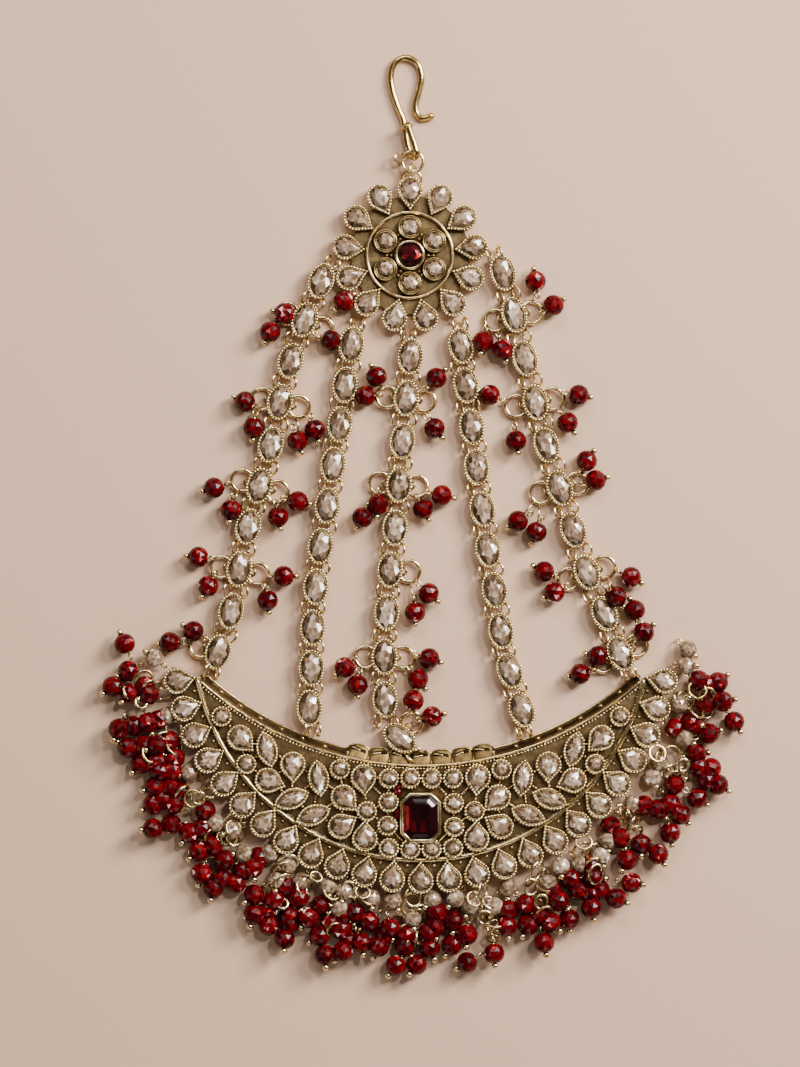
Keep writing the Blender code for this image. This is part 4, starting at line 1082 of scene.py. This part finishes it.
def settle(spots, apart, centre, inside):
    """Push bead centres apart in plan, and out of the crescent, until none overlap."""
    spots = np.array(spots, dtype=float)
    for _ in range(60):
        for i in range(len(spots)):
            away = spots - spots[i]
            distance = np.linalg.norm(away, axis=1)
            for j in np.nonzero((distance < apart) & (distance > 0))[0]:
                push = away[j] / distance[j] * (apart - distance[j]) / 2
                spots[j] += push
                spots[i] -= push
        reach = spots - centre
        distance = np.linalg.norm(reach, axis=1)
        short = distance < inside
        spots[short] = centre + reach[short] / distance[short][:, None] * inside
    return spots


def build_fringe(dice):
    red = Piece("fringe_red_beads", RED)
    pale = Piece("fringe_champagne_beads", PALE)
    pins = Piece("fringe_pins", BRIGHT)
    chains = Piece("fringe_rings", BRIGHT, ANTIQUE)
    centre = np.array(CRESCENT)
    seen = [at_pixel(p)[:2] for p in RED_FRINGE]
    red_spots = settle(seen, FRINGE_SPACING, centre, EDGE_ROW_RADIUS + 4.2)
    pale_spots = settle([at_pixel(p)[:2] for p in PALE_FRINGE], 2.9, centre, EDGE_ROW_RADIUS + 3.4)
    for x, y in red_spots:
        away = Vector((x, y)) - CRESCENT
        turn = math.atan2(away.y, away.x) + dice.gauss(0, 0.6)
        direction = (math.cos(turn), math.sin(turn), dice.uniform(-0.15, 0.45))
        spot = Vector((x, y, RED_BEAD / 2 + dice.choice((0.05, 0.5, 0.95))))
        add_bead(red, spot, RED_BEAD, direction, dice)
        add_headpin(pins, spot, direction, RED_BEAD, dice)
        if dice.random() < 0.55 and away.length > EDGE_ROW_RADIUS + 6.5:
            under = Vector((x, y)) - away.normalized() * dice.uniform(1.9, 2.9)
            under += Vector((-away.y, away.x)).normalized() * dice.uniform(-1.6, 1.6)
            add_bead(red, Vector((under.x, under.y, RED_BEAD / 2)), RED_BEAD, direction, dice)
    for x, y in pale_spots:
        away = Vector((x, y)) - CRESCENT
        turn = math.atan2(away.y, away.x) + dice.gauss(0, 0.7)
        direction = (math.cos(turn), math.sin(turn), dice.uniform(0.0, 0.7))
        spot = Vector((x, y, 1.9 + dice.uniform(-0.2, 0.5)))
        add_bead(pale, spot, 3.3, direction, dice)
        add_headpin(pins, spot, direction, 3.3, dice)
    for degrees, count, reach in CHAINS:
        for k in range(count):
            turn = math.radians(degrees + dice.uniform(-2.2, 2.2))
            radius = EDGE_ROW_RADIUS + 3.0 + (reach - EDGE_ROW_RADIUS - 1.5) * k / (count - 1)
            spot = on_circle(CRESCENT, radius, turn)
            outer, tilt = dice.uniform(2.3, 4.0), dice.uniform(0.1, 1.1)
            rise = outer / 2 * math.sin(tilt) + 0.3
            ring = Matrix.Translation((spot.x, spot.y, dice.uniform(max(rise, 1.6), FRINGE_TOP - rise))) \
                @ Matrix.Rotation(dice.uniform(0, math.pi), 4, "Z") @ Matrix.Rotation(tilt, 4, "X")
            add_ring(chains, outer, 0.5, ring, k % 2, 24, 7, dice.uniform(1.0, 1.25))
    red.finish(["bunch_%02d" % (i + 1) for i in range(15)])
    pale.finish()
    pins.finish()
    chains.finish()


# Floor, light and camera

def build_floor():
    size = 1.5
    mesh = bpy.data.meshes.new("floor")
    mesh.from_pydata([(-size, -size, 0), (size, -size, 0), (size, size, 0), (-size, size, 0)], [], [(0, 1, 2, 3)])
    made, tree, shader = node_material("floor_pale", 0.0, 0.75)
    shader.inputs["Base Color"].default_value = (0.642, 0.422, 0.290, 1.0)
    mesh.materials.append(made)
    item = bpy.data.objects.new("floor", mesh)
    bpy.context.scene.collection.objects.link(item)


def add_light(name, spot, size, power, colour):
    light = bpy.data.lights.new(name, "AREA")
    light.shape = "RECTANGLE"
    light.size, light.size_y = size
    light.energy = power
    light.color = colour
    item = bpy.data.objects.new(name, light)
    target = Vector((0, -0.055, 0))
    item.location = spot
    item.rotation_euler = (target - Vector(spot)).to_track_quat("-Z", "Y").to_euler()
    bpy.context.scene.collection.objects.link(item)


def build_lights():
    add_light("window", (0.50, 0.30, 0.42), (0.22, 0.32), 12.2, (1.0, 0.96, 0.90))
    add_light("ceiling", (-0.10, 0.62, 0.62), (0.50, 0.26), 4.1, (1.0, 0.97, 0.93))
    add_light("fill", (-0.75, -0.35, 0.45), (0.35, 0.5), 1.0, (1.0, 0.97, 0.94))
    add_light("low", (0.15, -0.85, 0.40), (0.5, 0.2), 1.0, (1.0, 0.98, 0.96))
    add_light("sparkle", (0.22, 0.20, 0.60), (0.05, 0.05), 1.6, (1.0, 1.0, 1.0))
    world = bpy.data.worlds.new("studio")
    bpy.context.scene.world = world
    world.use_nodes = True
    background = world.node_tree.nodes["Background"]
    background.inputs["Color"].default_value = (1.0, 0.94, 0.86, 1.0)
    background.inputs["Strength"].default_value = 0.09


def build_camera():
    """Straight above the photograph's middle, with its frame across the floor."""
    distance = 0.6
    middle = at_pixel((PHOTO_WIDTH / 2, PHOTO_HEIGHT / 2)) * MM
    camera = bpy.data.cameras.new("camera")
    camera.sensor_fit = "VERTICAL"
    camera.sensor_height = 36.0
    camera.lens = camera.sensor_height * distance / (PHOTO_HEIGHT * PIXEL * MM)
    camera.clip_start = 0.01
    item = bpy.data.objects.new("camera", camera)
    item.location = (middle.x, middle.y, distance)
    bpy.context.scene.collection.objects.link(item)
    bpy.context.scene.camera = item


build_camera()
build_floor()
build_lights()
build_medallion(random.Random(3))
build_hook(random.Random(4))
for index, route in enumerate(STRANDS, 1):
    build_strand(index, route, random.Random(10 + index))
build_drops(random.Random(20))
build_crescent(random.Random(30))
build_fringe(random.Random(40))

bpy.context.view_layer.update()
